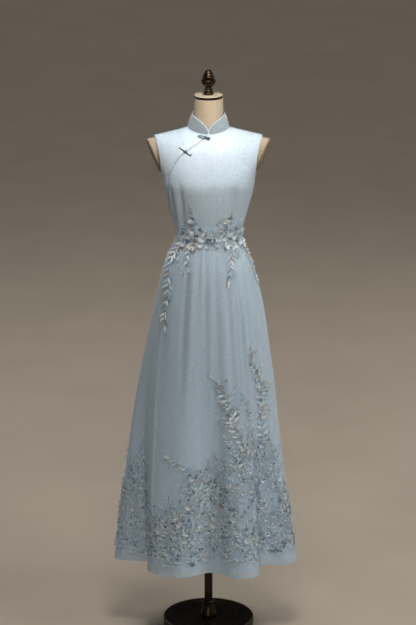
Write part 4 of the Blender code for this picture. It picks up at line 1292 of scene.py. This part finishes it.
# %% Garland flowers
Bloom = namedtuple("Bloom", "across z radius colour")
BODICE_BLOOMS = table(Bloom, (
    (-0.077, 1.366, 0.0110, PALE), (-0.052, 1.371, 0.0135, SILVER), (-0.028, 1.372, 0.0115, MIST),
    (-0.062, 1.352, 0.0125, MIST), (-0.080, 1.347, 0.0110, SILVER), (-0.040, 1.351, 0.0120, PALE),
    (-0.018, 1.348, 0.0125, SILVER), (0.008, 1.362, 0.0130, MIST), (0.009, 1.345, 0.0110, STEEL),
    (0.030, 1.347, 0.0120, SILVER), (0.048, 1.354, 0.0130, SILVER), (0.064, 1.367, 0.0140, MIST),
    (0.078, 1.352, 0.0130, SILVER), (0.090, 1.366, 0.0115, SILVER), (-0.050, 1.410, 0.0125, MIST),
    (0.050, 1.408, 0.0105, CREAM), (0.069, 1.407, 0.0095, PALE), (0.094, 1.349, 0.0115, PALE),
    (0.101, 1.359, 0.0100, SILVER), (0.099, 1.344, 0.0095, MIST)))
SKIRT_BLOOMS = table(Bloom, (
    (-33, 1.318, 0.0125, CREAM), (-52, 1.325, 0.0110, MIST), (39, 1.322, 0.0120, SILVER),
    (52, 1.317, 0.0130, SILVER), (66, 1.324, 0.0115, MIST), (76, 1.322, 0.0105, SILVER),
    (-17, 1.326, 0.0090, SILVER), (16, 1.326, 0.0095, PALE), (-2, 1.322, 0.0080, SILVER)))
BLOOM = 1.18              # flowers in the garland are this much larger than in the table
LOOSE_LEAVES = 150        # leaves and beads strewn between the flowers, along a line that rises to the left
LOOSE_FROM, LOOSE_TO, LOOSE_HEIGHT, LOOSE_RISE = -0.086, 0.097, 1.356, 0.06
garland = Tray()
for blooms, surface in ((BODICE_BLOOMS, on_front), (SKIRT_BLOOMS, on_skirt)):
    for bloom in blooms:
        flower(garland, (bloom.across, bloom.z), surface, BLOOM * bloom.radius, colour=bloom.colour)
for _ in range(LOOSE_LEAVES):
    across = pick.uniform(LOOSE_FROM, LOOSE_TO)
    z = LOOSE_HEIGHT + pick.uniform(-0.016, 0.014) + LOOSE_RISE * across
    point, around, up, out, _ = on_front(across, max(z, WAIST + 0.002))
    turn = pick.uniform(0, 2 * math.pi)
    direction = around * math.cos(turn) + up * math.sin(turn)
    size = pick.uniform(0.010, 0.019)
    garland.add(LEAF, laid(point, direction, out, LIFT, pick.uniform(0.1, 0.6)),
                shade_of(pick.choice(LEAF_COLOURS)), size * 0.36, size)
    if pick.random() < 0.2:
        bead(garland, point + direction * 0.006 + out * 0.002, out, pick.uniform(0.0011, 0.0017))
print("flowers in the garland:", len(BODICE_BLOOMS) + len(SKIRT_BLOOMS))

# %% [markdown]
# Small sprigs join the tufts to the garland, and short drops hang below it at centre front. Those on the
# bodice are drawn from the garland upwards.

# %% Tufts and drops
Twig = namedtuple("Twig", "places leaf pitch angle paired")


def worked(tray, twigs, surface, **looks):
    """A sprig along each twig of a table."""
    for twig in twigs:
        sprig(tray, smooth_route(twig.places, surface), surface, twig.leaf, twig.pitch, twig.angle, twig.paired,
              **looks)


BODICE_TWIGS = table(Twig, (
    (((-0.072, 1.371), (-0.067, 1.392), (-0.055, 1.410), (-0.046, 1.430), (-0.043, 1.452)),
     0.009, 0.007, 0.7, False),
    (((-0.052, 1.420), (-0.056, 1.445), (-0.061, 1.468)), 0.008, 0.007, 0.6, False),
    (((-0.066, 1.396), (-0.080, 1.412), (-0.084, 1.425)), 0.009, 0.007, 0.7, True),
    (((-0.060, 1.376), (-0.052, 1.394), (-0.040, 1.404)), 0.010, 0.007, 0.8, True),
    (((0.056, 1.372), (0.060, 1.390), (0.066, 1.408), (0.068, 1.428)), 0.010, 0.007, 0.7, True),
    (((0.058, 1.384), (0.052, 1.398), (0.050, 1.410)), 0.010, 0.008, 0.7, False),
    (((0.052, 1.366), (0.042, 1.374), (0.030, 1.388)), 0.012, 0.008, 0.7, True),
    (((0.086, 1.370), (0.090, 1.385), (0.100, 1.402)), 0.009, 0.007, 0.6, True),
    (((0.092, 1.366), (0.098, 1.372), (0.104, 1.384)), 0.008, 0.007, 0.7, True)))
SKIRT_TWIGS = table(Twig, (
    (((-3, 1.331), (-1, 1.318), (2, 1.305)), 0.008, 0.006, 0.8, True),
    (((12, 1.331), (11, 1.318), (11, 1.305)), 0.008, 0.006, 0.8, True),
    (((19, 1.331), (21, 1.318), (23, 1.303)), 0.009, 0.006, 0.7, True),
    (((-22, 1.331), (-24, 1.316), (-25, 1.298)), 0.010, 0.007, 0.8, True),
    (((31, 1.331), (32, 1.318), (31, 1.300)), 0.010, 0.007, 0.8, True)))
worked(garland, BODICE_TWIGS, on_front, beads=0.35)
worked(garland, SKIRT_TWIGS, on_skirt, beads=0.5)
sewn(garland, "garland_flowers", "garland_waist")

# %% [markdown]
# ### Sprays that hang from the garland
# On each side of the front, stems hang over the hips. Their leaves are long and narrow and point down and
# out, like a fern's, and get smaller towards the tip.

# %% Hanging sprays
RIGHT_SPRAYS = table(Twig, (
    (((-60, 1.330), (-65, 1.300), (-67, 1.270), (-66, 1.235), (-63, 1.200), (-61, 1.160), (-62, 1.120),
      (-62, 1.090), (-60, 1.063)), 0.033, 0.0180, 0.80, True),
    (((-41, 1.328), (-39, 1.300), (-40, 1.275), (-35, 1.255)), 0.026, 0.0160, 0.75, True),
    (((-56, 1.285), (-52, 1.262), (-45, 1.238)), 0.018, 0.013, 0.5, False),
    (((-69, 1.318), (-73, 1.290), (-75, 1.262)), 0.016, 0.012, 0.6, True)))
LEFT_SPRAYS = table(Twig, (
    (((46, 1.318), (42, 1.290), (39, 1.262), (37, 1.238), (35, 1.212)), 0.031, 0.0200, 0.78, True),
    (((74, 1.318), (81, 1.290), (84, 1.252), (84, 1.218), (88, 1.183)), 0.018, 0.0130, 0.55, True),
    (((70, 1.312), (76, 1.288), (71, 1.255)), 0.017, 0.013, 0.5, False),
    (((60, 1.316), (58, 1.298), (57, 1.284)), 0.015, 0.011, 0.7, True)))
SPRAY_MIX = [SILVER] * 4 + [MIST] * 3 + [CREAM] * 3 + [PALE] * 2 + [SAND] * 2
for side_name, twigs in (("right", RIGHT_SPRAYS), ("left", LEFT_SPRAYS)):
    tray = Tray()
    worked(tray, twigs, on_skirt, colours=SPRAY_MIX, beads=0.22, width=0.28, taper=0.35)
    sewn(tray, side_name + "_hip_sprays", "spray_" + side_name)

# %% [markdown]
# ### Branches and the field above the hem
# Two tall branches climb the skirt with smaller ones beside them. Their leaves are in pairs, and short side
# twigs leave them by turns. A thick growth of small twigs covers the cloth above the hem. `FIELD` says where
# that growth starts and how high it reaches at each line of cloth. Round the back it is lower, so the border
# runs on without a break.

# %% Tall branches
FRONT_MIX = [SILVER] * 8 + [CREAM] * 5 + [MIST] * 3 + [SAND] * 2 + [PALE] + [STEEL]
TALL = table(Twig, (
    (((44, 0.640), (39, 0.685), (35, 0.715), (32, 0.742), (29, 0.770), (27, 0.799), (24, 0.829), (19, 0.853),
      (15, 0.871), (8, 0.893)), 0.027, 0.0210, 1.05, True),
    (((32, 0.755), (35, 0.784), (38, 0.800), (41, 0.818)), 0.018, 0.0150, 1.0, True),
    (((31, 0.735), (24, 0.748), (17, 0.752)), 0.020, 0.0155, 1.0, True)))
EDGE = table(Twig, (
    (((70, 0.640), (68, 0.700), (69, 0.750), (70, 0.790), (71, 0.829), (68, 0.862), (64, 0.895), (60, 0.925),
      (57, 0.949), (59, 0.975)), 0.025, 0.0200, 1.05, True),
    (((70, 0.800), (67, 0.825), (63, 0.847)), 0.018, 0.0150, 1.0, True),
    (((52, 0.640), (50, 0.720), (49, 0.760), (48, 0.793), (46, 0.829), (42, 0.848)), 0.017, 0.0145, 1.0, True)))
SIDE_LEAN, SIDE_TWIG = 0.80, 0.034         # lean off upright and length of the side twigs
BRANCH_LOOK = {"colours": FRONT_MIX, "lean": (-0.25, 0.25)}
BRANCHES = (("tall_branch_leaves", TALL, "branch_tall"), ("edge_branch_leaves", EDGE, "branch_edge"))
for name, twigs, node in BRANCHES:
    tray = Tray()
    worked(tray, twigs, on_skirt, beads=0.25, width=0.38, stem=0.0009, taper=0.30, **BRANCH_LOOK)
    stem_places = twigs[0].places         # short side twigs leave it by turns, with flowers between them
    for k, place in enumerate(stem_places[2:-1]):
        way = 1 if k % 2 == 0 else -1
        path = grown(place, way * SIDE_LEAN, SIDE_TWIG * (1 - 0.06 * k), on_skirt)
        sprig(tray, path, on_skirt, 0.019, 0.0115, 0.85, True, beads=0.25, width=0.38, stem=0.0008,
              **BRANCH_LOOK)
    for place in stem_places[2:-2:2]:
        flower(tray, (place[0] + pick.uniform(-3, 3), place[1]), on_skirt, 0.0085, colour=CREAM, centre=2)
    sewn(tray, name, node)

# %% The field above the hem
Reach = namedtuple("Reach", "hip low high")
FIELD = table(Reach, (
    (-180, 0.285, 0.470), (-165, 0.282, 0.520), (-150, 0.290, 0.450), (-138, 0.280, 0.540),
    (-124, 0.288, 0.500), (-110, 0.280, 0.470), (-98, 0.272, 0.480), (-90, 0.268, 0.560),
    (-84, 0.265, 0.640), (-79, 0.272, 0.610), (-74, 0.285, 0.530), (-68, 0.290, 0.450), (-60, 0.284, 0.410),
    (-54, 0.270, 0.430), (-47, 0.266, 0.460), (-38, 0.266, 0.505), (-30, 0.270, 0.535), (-22, 0.273, 0.555),
    (-15, 0.276, 0.570), (-4, 0.280, 0.585), (5, 0.283, 0.600), (17, 0.282, 0.625), (25, 0.281, 0.655),
    (33, 0.278, 0.690), (42, 0.280, 0.700), (50, 0.288, 0.705), (60, 0.280, 0.710), (68, 0.277, 0.705),
    (74, 0.277, 0.670), (79, 0.276, 0.560), (85, 0.277, 0.470), (95, 0.275, 0.440), (108, 0.282, 0.480),
    (122, 0.276, 0.450), (136, 0.284, 0.520), (150, 0.280, 0.460), (165, 0.286, 0.500), (180, 0.285, 0.470)))
FIELD_PIECES = [("hem_field_front", "hem_lace_front"), ("hem_field_left", "hem_lace_side_left"),
                ("hem_field_back_left", "hem_lace_back_left"), ("hem_field_back_right", "hem_lace_back_right"),
                ("hem_field_right", "hem_lace_side_right")]        # one on each of the skirt's gores, in order
TWIG_GAP = 0.0102         # metres of cloth between the feet of neighbouring twigs
FIELD_MIX = [SILVER] * 8 + [MIST] * 6 + [PALE] * 5 + [STEEL] * 3 + [SAND] + [CREAM] * 3
FIELD_LEVELS = (0.0, 0.15, 0.30, 0.45, 0.60, 0.75, 0.88)     # parts of the field's height where twigs start
FOOT_MARGIN, STEM_MARGIN = 1.5, 0.7       # degrees kept free inside a gore's edges, by twigs' feet and stems
LENGTHS, SHORTEST = (0.045, 0.100), 0.020
THINNING, FLOWER_CHANCE = 0.30, 0.6       # share of twigs left out at the top; chance of a flower beside a foot


def field(name, first, last, node):
    tray, hip = Tray(), first + FOOT_MARGIN
    while hip < last - FOOT_MARGIN:
        metres = on_skirt(hip, 0.30).metres
        low, high = read(FIELD, "hip", "low", hip), read(FIELD, "hip", "high", hip)
        for level in FIELD_LEVELS:
            if pick.random() > 1.0 - THINNING * level:
                continue
            z = low + (high - low) * max(0.0, level + pick.uniform(-0.10, 0.08))
            length = min(high - z, pick.uniform(*LENGTHS))
            if length < SHORTEST:
                continue
            foot = (hip + pick.uniform(-1, 1) * TWIG_GAP / metres * 0.8, z)
            path = grown(foot, pick.uniform(-0.95, 0.95), length, on_skirt)
            path = [place for place in path if first + STEM_MARGIN < place[0] < last - STEM_MARGIN]
            if len(path) > 2:
                sprig(tray, path, on_skirt, pick.uniform(0.0125, 0.0195), 0.0115, 0.80, pick.random() < 0.75,
                      colours=FIELD_MIX, beads=0.12, width=0.33, lean=(-0.28, 0.24), stem=0.0006)
        if pick.random() < FLOWER_CHANCE:
            spot = (hip, low + (high - low) * pick.uniform(0.05, 0.75))
            radius = pick.uniform(0.0070, 0.0105)
            flower(tray, spot, on_skirt, radius, colour=pick.choice((SILVER, SILVER, CREAM, MIST)), centre=2)
        hip += TWIG_GAP / metres * pick.uniform(0.8, 1.2)
    sewn(tray, name, node)


for (name, node), (_, first, last) in zip(FIELD_PIECES, SKIRT_CUTS):
    field(name, first, last, node)

# %% [markdown]
# The twigs that stand out from the field are drawn one by one, on top of it: one that leans out over the plain
# cloth at the wearer's right, and a slim one on the far side of the first fold.

# %% Twigs in front of the field
ACCENTS = table(Twig, (
    (((-15, 0.520), (-16, 0.545), (-20, 0.570), (-26, 0.592), (-31, 0.607), (-38, 0.618), (-46, 0.630)),
     0.027, 0.0165, 0.95, True),
    (((-8, 0.500), (-6, 0.530), (-9, 0.560), (-14, 0.585)), 0.019, 0.0155, 1.0, True),
    (((4, 0.520), (2, 0.560), (3, 0.590), (0, 0.612)), 0.019, 0.0155, 1.0, True),
    (((20, 0.560), (17, 0.600), (12, 0.628), (9, 0.648)), 0.019, 0.0155, 1.0, True),
    (((-40, 0.420), (-44, 0.455), (-47, 0.490)), 0.017, 0.0145, 1.0, True),
    (((34, 0.600), (30, 0.650), (25, 0.682), (22, 0.700)), 0.019, 0.0155, 1.0, True)))
ACCENT_FLOWERS = (((17, 0.47), 0.013, SAND), ((8, 0.40), 0.012, CREAM), ((-25, 0.47), 0.011, CREAM),
                  ((40, 0.36), 0.012, SILVER), ((-38, 0.33), 0.011, PALE), ((-52, 0.36), 0.010, MIST))
FAR_SIDE = (Twig(((-86, 0.560), (-85, 0.600), (-84, 0.637), (-83, 0.668)), 0.018, 0.013, 0.65, True),)
accents = Tray()
worked(accents, ACCENTS, on_skirt, beads=0.2, width=0.40, stem=0.0009, **BRANCH_LOOK)
for place, radius, colour in ACCENT_FLOWERS:
    flower(accents, place, on_skirt, radius, colour=colour)
sewn(accents, "front_twigs")
edge_twig = Tray()
worked(edge_twig, FAR_SIDE, on_skirt, colours=FRONT_MIX, beads=0.2, width=0.32, stem=0.0008, lean=(-0.2, 0.2))
sewn(edge_twig, "side_twig")

# %% [markdown]
# ## Knotted fasteners
# Each is a cord laid from three strands, sewn down in loops, with a knotted button that goes through the
# last loop. The button is a Turk's head: one strand that runs three times round a ball while it weaves four
# times up and down, over and under itself. The loops are drawn on the chest as metres across and up.

# %% Cords and knots
LOOPS = {
    "frog_collar_loop": [(-0.0075, 1.6660), (-0.0110, 1.6678), (-0.0160, 1.6690), (-0.0215, 1.6698),
                         (-0.0268, 1.6703), (-0.0305, 1.6700), (-0.0324, 1.6686), (-0.0310, 1.6668),
                         (-0.0270, 1.6655), (-0.0215, 1.6646), (-0.0150, 1.6638), (-0.0080, 1.6632)],
    "frog_chest_right": [(-0.0894, 1.6364), (-0.0865, 1.6348), (-0.0835, 1.6332), (-0.0800, 1.6314),
                         (-0.0769, 1.6297), (-0.0742, 1.6283)],
    "frog_chest_left": [(-0.0676, 1.6243), (-0.0652, 1.6225), (-0.0628, 1.6205), (-0.0600, 1.6178),
                        (-0.0576, 1.6158), (-0.0553, 1.6160), (-0.0539, 1.6190), (-0.0528, 1.6214)],
}
KNOTS = {"frog_collar_knot": (0.0008, 1.6624, 0.0050), "frog_collar_button": (-0.0070, 1.6652, 0.0041),
         "frog_chest_knot": (-0.0706, 1.6266, 0.0040)}
KNOT_POINTS, RUNS, WEAVES = 220, 3, 4     # times the strand runs round the ball, and up and down
STRAND, REACH, OVER = 0.36, 0.66, 0.12    # in ball radii: the strand's radius, its distance out, its rise
KNOT_TILT = 0.95                          # how far up and down the ball it goes, in radians
OPENING_CORD, OPENING_LIFT = 0.0010, 0.0006


def above(route, spacing, rise):
    """A path that runs `rise` above the chest through (across, up) places."""
    spots = [on_front(*place) for place in smooth_route(route, on_front, spacing=spacing)]
    return [spot.point + spot.out * rise for spot in spots]


for name, route in LOOPS.items():
    path = above(route, 0.0007, CORD + 2 * SEAM)
    kept(tube(name + "_cord", path, CORD, BRAID, sides=12, lobes=3, twist=620, swell=0.13), "braid", name)
for name, (x, z, radius) in KNOTS.items():
    point, around, up, out, _ = on_front(x, z)
    middle, path = point + out * (radius + SEAM), []
    for k in range(KNOT_POINTS):
        turn = 2 * math.pi * k / KNOT_POINTS
        lift = radius * (REACH + OVER * math.cos(2 * WEAVES * turn))
        tilt = KNOT_TILT * math.sin(WEAVES * turn)
        level = around * math.cos(RUNS * turn) + up * math.sin(RUNS * turn)
        path.append(middle + (level * math.cos(tilt) + out * math.sin(tilt)) * lift)
    knot = tube(name + "_cord", path, radius * STRAND, BRAID, sides=8, closed=True)
    kept(knot, "braid", *([name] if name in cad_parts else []))
# A dark piping along the opening: its darkness is partly its own colour and partly a painted shadow line along
# the step.
path = above([(place.x, place.z) for place in OPENING[-2::-1]], 0.003, OPENING_LIFT)
kept(tube("opening_piping_cord", path, OPENING_CORD, OPENING_SHADOW_SATIN), "piping")
print("fasteners:", list(LOOPS) + list(KNOTS), "and the opening's piping")

# %% [markdown]
# ## The form
# The torso's solid has the right size, but it is faceted and its neck and arm stumps meet the shoulders in
# sharp creases. Linen is stretched over such a form in one smooth skin, so a copy of the solid is rebuilt
# from small voxels and smoothed, which rounds every crease. It would round the ends of the neck and stumps
# too, so these are first drawn out past their caps and cut off again afterwards with bisect. Sewn seams run
# down the front and the back of the cover, on paths found by casting rays at the finished torso.

# %% Linen torso and its seams
NECK_TOP = 1.7807
PLATE_TOP, PLATE_BOTTOM = Vector((0.1921, 0, 1.6495)), Vector((0.1500, 0, 1.5425))
PLATE_HALF_DEPTH, PLATE_WALL, PLATE_TURN = 0.0350, 0.004, math.radians(12)
DRAWN_OUT, VOXEL = 0.022, 0.0045          # length added at each end; size of the voxels
SEAM_POINTS, NECK_SEAM_TOP, SEAM_BOTTOM = 160, 1.778, 1.000
SEAM_THREAD, SEAM_SINK = 0.0005, 0.00015  # radius of a sewn seam and how deep it lies in the linen
FACING, NEAR = 0.97, 0.002                # an end's faces look this squarely outwards and lie this close to it


def plate_axes(way):
    """Middle, up, across and out of an arm plate: it tilts down and is turned a little to the front."""
    middle, up = (PLATE_TOP + PLATE_BOTTOM) / 2, (PLATE_TOP - PLATE_BOTTOM).normalized()
    level, deep = Vector((up.z, 0, -up.x)), Vector((0, 1, 0))
    across = deep * math.cos(PLATE_TURN) + level * math.sin(PLATE_TURN)
    out = level * math.cos(PLATE_TURN) - deep * math.sin(PLATE_TURN)
    return [Vector((way * v.x, v.y, v.z)) for v in (middle, up, across, out)]


ENDS = [(Vector((0, 0, NECK_TOP)), Vector((0, 0, 1)))]
for way in (-1, 1):
    middle, _, _, out = plate_axes(way)
    ENDS.append((middle - out * SEAM, out))
torso = linked("form_torso_linen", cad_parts["form_torso"].data.copy())
torso.data.materials.clear()
torso.data.materials.append(LINEN)
with editing(torso):
    bpy.ops.mesh.select_all(action="SELECT")
    bpy.ops.mesh.remove_doubles(threshold=0.0001)
for place, out in ENDS:
    for kind in (torso.data.vertices, torso.data.edges, torso.data.polygons):
        for part in kind:
            part.select = False
    for face in torso.data.polygons:
        face.select = face.normal.dot(out) > FACING and abs((face.center - place).dot(out)) < NEAR
    with editing(torso):
        bpy.ops.mesh.extrude_region_move(TRANSFORM_OT_translate={"value": out * DRAWN_OUT})
applied(torso, "REMESH", mode="VOXEL", voxel_size=VOXEL, use_smooth_shade=True)
applied(torso, "SMOOTH", factor=0.5, iterations=12)
with editing(torso):
    for place, out in ENDS:
        bpy.ops.mesh.select_all(action="SELECT")
        bpy.ops.mesh.bisect(plane_co=place, plane_no=out, use_fill=True, clear_outer=True)
kept(smoothed(torso, 50), "linen", "form_torso")

for name, way in (("form_seam_front", -1), ("form_seam_back", 1)):
    path = []
    for z in steps(NECK_SEAM_TOP, SEAM_BOTTOM, SEAM_POINTS - 1):
        hit, place, out, _ = torso.ray_cast(Vector((0, way * 0.5, z)), Vector((0, -way, 0)))
        if hit:
            path.append(place - out * SEAM_SINK)
    kept(tube(name, path, SEAM_THREAD, LINEN, sides=6), "linen")
print("torso:", len(torso.data.polygons), "faces")

# %% [markdown]
# ## Turned pieces
# The base, socket, pole, cap and finial are all turned on one axis, so each is drawn as half a section and
# spun. The section starts as one edge, its points are pulled out one after another by extruding, and spin
# takes it round. A small bevel softens the sharp corners, because an edge that catches no light looks
# unreal. The sections are the solids' own, with the rounding that a lathe leaves.

# %% Spin a section
BASE_HEIGHT, POLE_RADIUS, FORM_BOTTOM = 0.035, 0.0133, 0.985
CAP_HEIGHT, CAP_DOME = 0.0085, 0.0012     # the cap's height at its rim, and its middle's rise above that


def turned(name, section, node, corner=0.0008, sides=96, closed=False):
    """A turned piece from (radius, height) points, from the top down its outside to the bottom."""
    bpy.ops.object.select_all(action="DESELECT")
    bpy.ops.mesh.primitive_plane_add(size=0.01, location=(0, 0, 0))
    piece = bpy.context.object
    piece.name = piece.data.name = name
    places = [Vector((radius, 0, z)) for radius, z in section + (section[:1] if closed else [])]
    with editing(piece):
        bpy.ops.mesh.merge(type="CENTER")
        bpy.ops.transform.translate(value=places[0])
        for last, here in zip(places, places[1:]):
            bpy.ops.mesh.extrude_region_move(TRANSFORM_OT_translate={"value": here - last})
        bpy.ops.mesh.select_all(action="SELECT")
        bpy.ops.mesh.spin(steps=sides, angle=2 * math.pi, center=(0, 0, 0), axis=(0, 0, 1))
        bpy.ops.mesh.select_all(action="SELECT")
        bpy.ops.mesh.remove_doubles(threshold=0.00005)
        bpy.ops.mesh.normals_make_consistent(inside=False)
    piece.data.materials.append(BRONZE)
    if corner:
        bevelled(piece, corner, 28)
    return kept(smoothed(piece, 32), "bronze", node)


top = BASE_HEIGHT
base = turned("round_base", [(0, top - 0.001), (0.119, top - 0.001), (0.1215, top - 0.0004), (0.1225, top),
                             (0.1445, top), (0.148, top - 0.003), (0.148, 0.004), (0.145, 0), (0, 0)],
              "base_plate", corner=0.0012, sides=128)
foot = top + SEAM
socket = turned("pole_socket_turned", [(0.0136, foot + 0.054), (0.0165, foot + 0.054), (0.0182, foot + 0.051),
                                       (0.0182, foot + 0.044), (0.0168, foot + 0.042), (0.0172, foot + 0.037),
                                       (0.0200, foot + 0.024), (0.0240, foot + 0.013), (0.0262, foot + 0.006),
                                       (0.0256, foot + 0.001), (0.0240, foot), (0.0136, foot)],
                "pole_socket", corner=0.0005, closed=True)
pole = turned("pole_turned", [(0, FORM_BOTTOM - SEAM), (POLE_RADIUS, FORM_BOTTOM - SEAM),
                              (POLE_RADIUS, 0.62), (POLE_RADIUS, 0.24), (POLE_RADIUS, top + SEAM),
                              (0, top + SEAM)],
              "pole", corner=0.0004, sides=48)
base_z = NECK_TOP + SEAM
cap_top = base_z + CAP_HEIGHT
cap = turned("neck_cap_turned", [(0, cap_top + CAP_DOME), (0.020, cap_top + 0.0011), (0.034, cap_top + 0.0007),
                                 (0.0418, cap_top), (0.0444, cap_top - 0.0006), (0.0455, cap_top - 0.002),
                                 (0.0455, base_z + 0.0035), (0.0450, base_z + 0.0012), (0.0442, base_z),
                                 (0, base_z)],
             "neck_cap", corner=0.0004)
# Only the cap's upward top faces get the lighter finish, a painted highlight where the overhead light falls.
cap.data.materials.append(CAP_TOP_PAINTED_HIGHLIGHT)
for face in cap.data.polygons:
    if face.center.z > cap_top - 0.0003 and face.normal.z > 0.6:
        face.material_index = 1
lift = cap_top + CAP_DOME + SEAM
FINIAL = [(0, 0.0790), (0.0050, 0.0780), (0.0099, 0.0750), (0.0148, 0.0690), (0.0176, 0.0635), (0.0178, 0.0605),
          (0.0203, 0.0575), (0.0189, 0.0540), (0.0165, 0.0525), (0.0174, 0.0510), (0.0220, 0.0480),
          (0.0242, 0.0450), (0.0226, 0.0400), (0.0198, 0.0337), (0.0154, 0.0275), (0.0102, 0.0215),
          (0.0154, 0.0155), (0.0123, 0.0115), (0.0180, 0.0055), (0.0154, 0)]
smooth_section = spline(FINIAL, lambda first, second: 6)        # six places from each point to the next
finial = turned("finial_turned", [(radius, lift + z) for radius, z in smooth_section] + [(0, lift)],
                "finial", corner=0, sides=64)
print("turned:", [piece.name for piece in (base, socket, pole, cap, finial)])

# %% [markdown]
# ## Arm plates
# Each arm stump ends in an oval walnut disc. It is a cylinder, scaled to the oval, with its outer rim
# bevelled round and a shallow turned recess on its face, made by insetting that face and pushing it in.

# %% Arm plates
RIM, RECESS_SLOPE, RECESS_DEPTH, RIM_ROUND = 0.004, 0.0010, 0.0008, 0.0012
for side_name, way in (("right", -1), ("left", 1)):
    middle, up, across, out = plate_axes(way)
    bpy.ops.object.select_all(action="DESELECT")
    bpy.ops.mesh.primitive_cylinder_add(vertices=96, radius=1, depth=1)
    plate = bpy.context.object
    plate.name = plate.data.name = f"arm_plate_{side_name}_turned"
    half = (PLATE_TOP - PLATE_BOTTOM).length / 2
    place = Matrix((up * half, across * PLATE_HALF_DEPTH, out * PLATE_WALL)).transposed().to_4x4()
    place.translation = middle + out * PLATE_WALL / 2
    if place.determinant() < 0:
        place = place @ Matrix.Scale(-1, 4, (0, 1, 0))
    plate.data.transform(place)
    with editing(plate):
        bpy.ops.mesh.select_all(action="DESELECT")
    for face in plate.data.polygons:
        face.select = face.normal.dot(out) > 0.9
    with editing(plate):
        bpy.ops.mesh.inset(thickness=RIM)
        bpy.ops.mesh.inset(thickness=RECESS_SLOPE, depth=-RECESS_DEPTH)
    plate.data.materials.append(WALNUT)
    bevelled(plate, RIM_ROUND, 40)
    kept(smoothed(plate, 35), "walnut", "arm_plate_" + side_name)
    print(plate.name, len(plate.data.polygons), "faces")

# %% [markdown]
# ## What each sheet was cut to
# Hung cloth keeps its area, so each panel's flat cut can be checked against the shell. Nine pieces were cut:
# five gores, three bodice panels and the collar's band. None is a rectangle: a gore is wider at its hem than
# at its waist, and a bodice panel loses its armhole and neckline. So each has an area beside its greatest
# width and length. The trimmings sewn on a panel go with it.

shown = {piece.name: piece for piece in bpy.data.objects if piece.type == "MESH"}
Cut = namedtuple("Cut", "piece width length area held holder trimmings")
CUTS = table(Cut, (
    ("skirt_front_cloth", 0.515, 1.12, 0.430, "hung", "front_panel_cloth",
     ["hem_roll_cord", "garland_flowers", "right_hip_sprays", "left_hip_sprays", "tall_branch_leaves",
      "hem_field_front", "front_twigs"]),
    ("skirt_side_left_cloth", 0.315, 1.13, 0.235, "hung", "bodice_back_cloth",
     ["edge_branch_leaves", "hem_field_left"]),
    ("skirt_back_left_cloth", 0.305, 1.12, 0.230, "hung", "bodice_back_cloth", ["hem_field_back_left"]),
    ("skirt_back_right_cloth", 0.230, 1.12, 0.183, "hung", "bodice_back_cloth", ["hem_field_back_right"]),
    ("skirt_side_right_cloth", 0.350, 1.13, 0.245, "hung", "bodice_back_cloth",
     ["hem_field_right", "side_twig"]),
    ("front_panel_cloth", 0.420, 0.390, 0.108, "stretched", "form_torso_linen",
     ["opening_piping_cord", "frog_chest_left_cord", "frog_chest_knot_cord", "armhole_binding_left_cord"]),
    ("underlap_panel_cloth", 0.150, 0.290, 0.027, "stretched", "form_torso_linen",
     ["frog_chest_right_cord", "armhole_binding_right_cord"]),
    ("bodice_back_cloth", 0.405, 0.390, 0.130, "stretched", "form_torso_linen", []),
    ("collar_cloth", 0.362, 0.043, 0.0145, "stretched", "front_panel_cloth",
     ["collar_piping_cord", "neckline_piping_cord", "frog_collar_loop_cord", "frog_collar_knot_cord",
      "frog_collar_button_cord"])))
for cut in CUTS:
    piece = shown[cut.piece]
    print(f"{cut.piece}: cut {cut.area} m2, hung {flat_size(piece):.3f} m2")
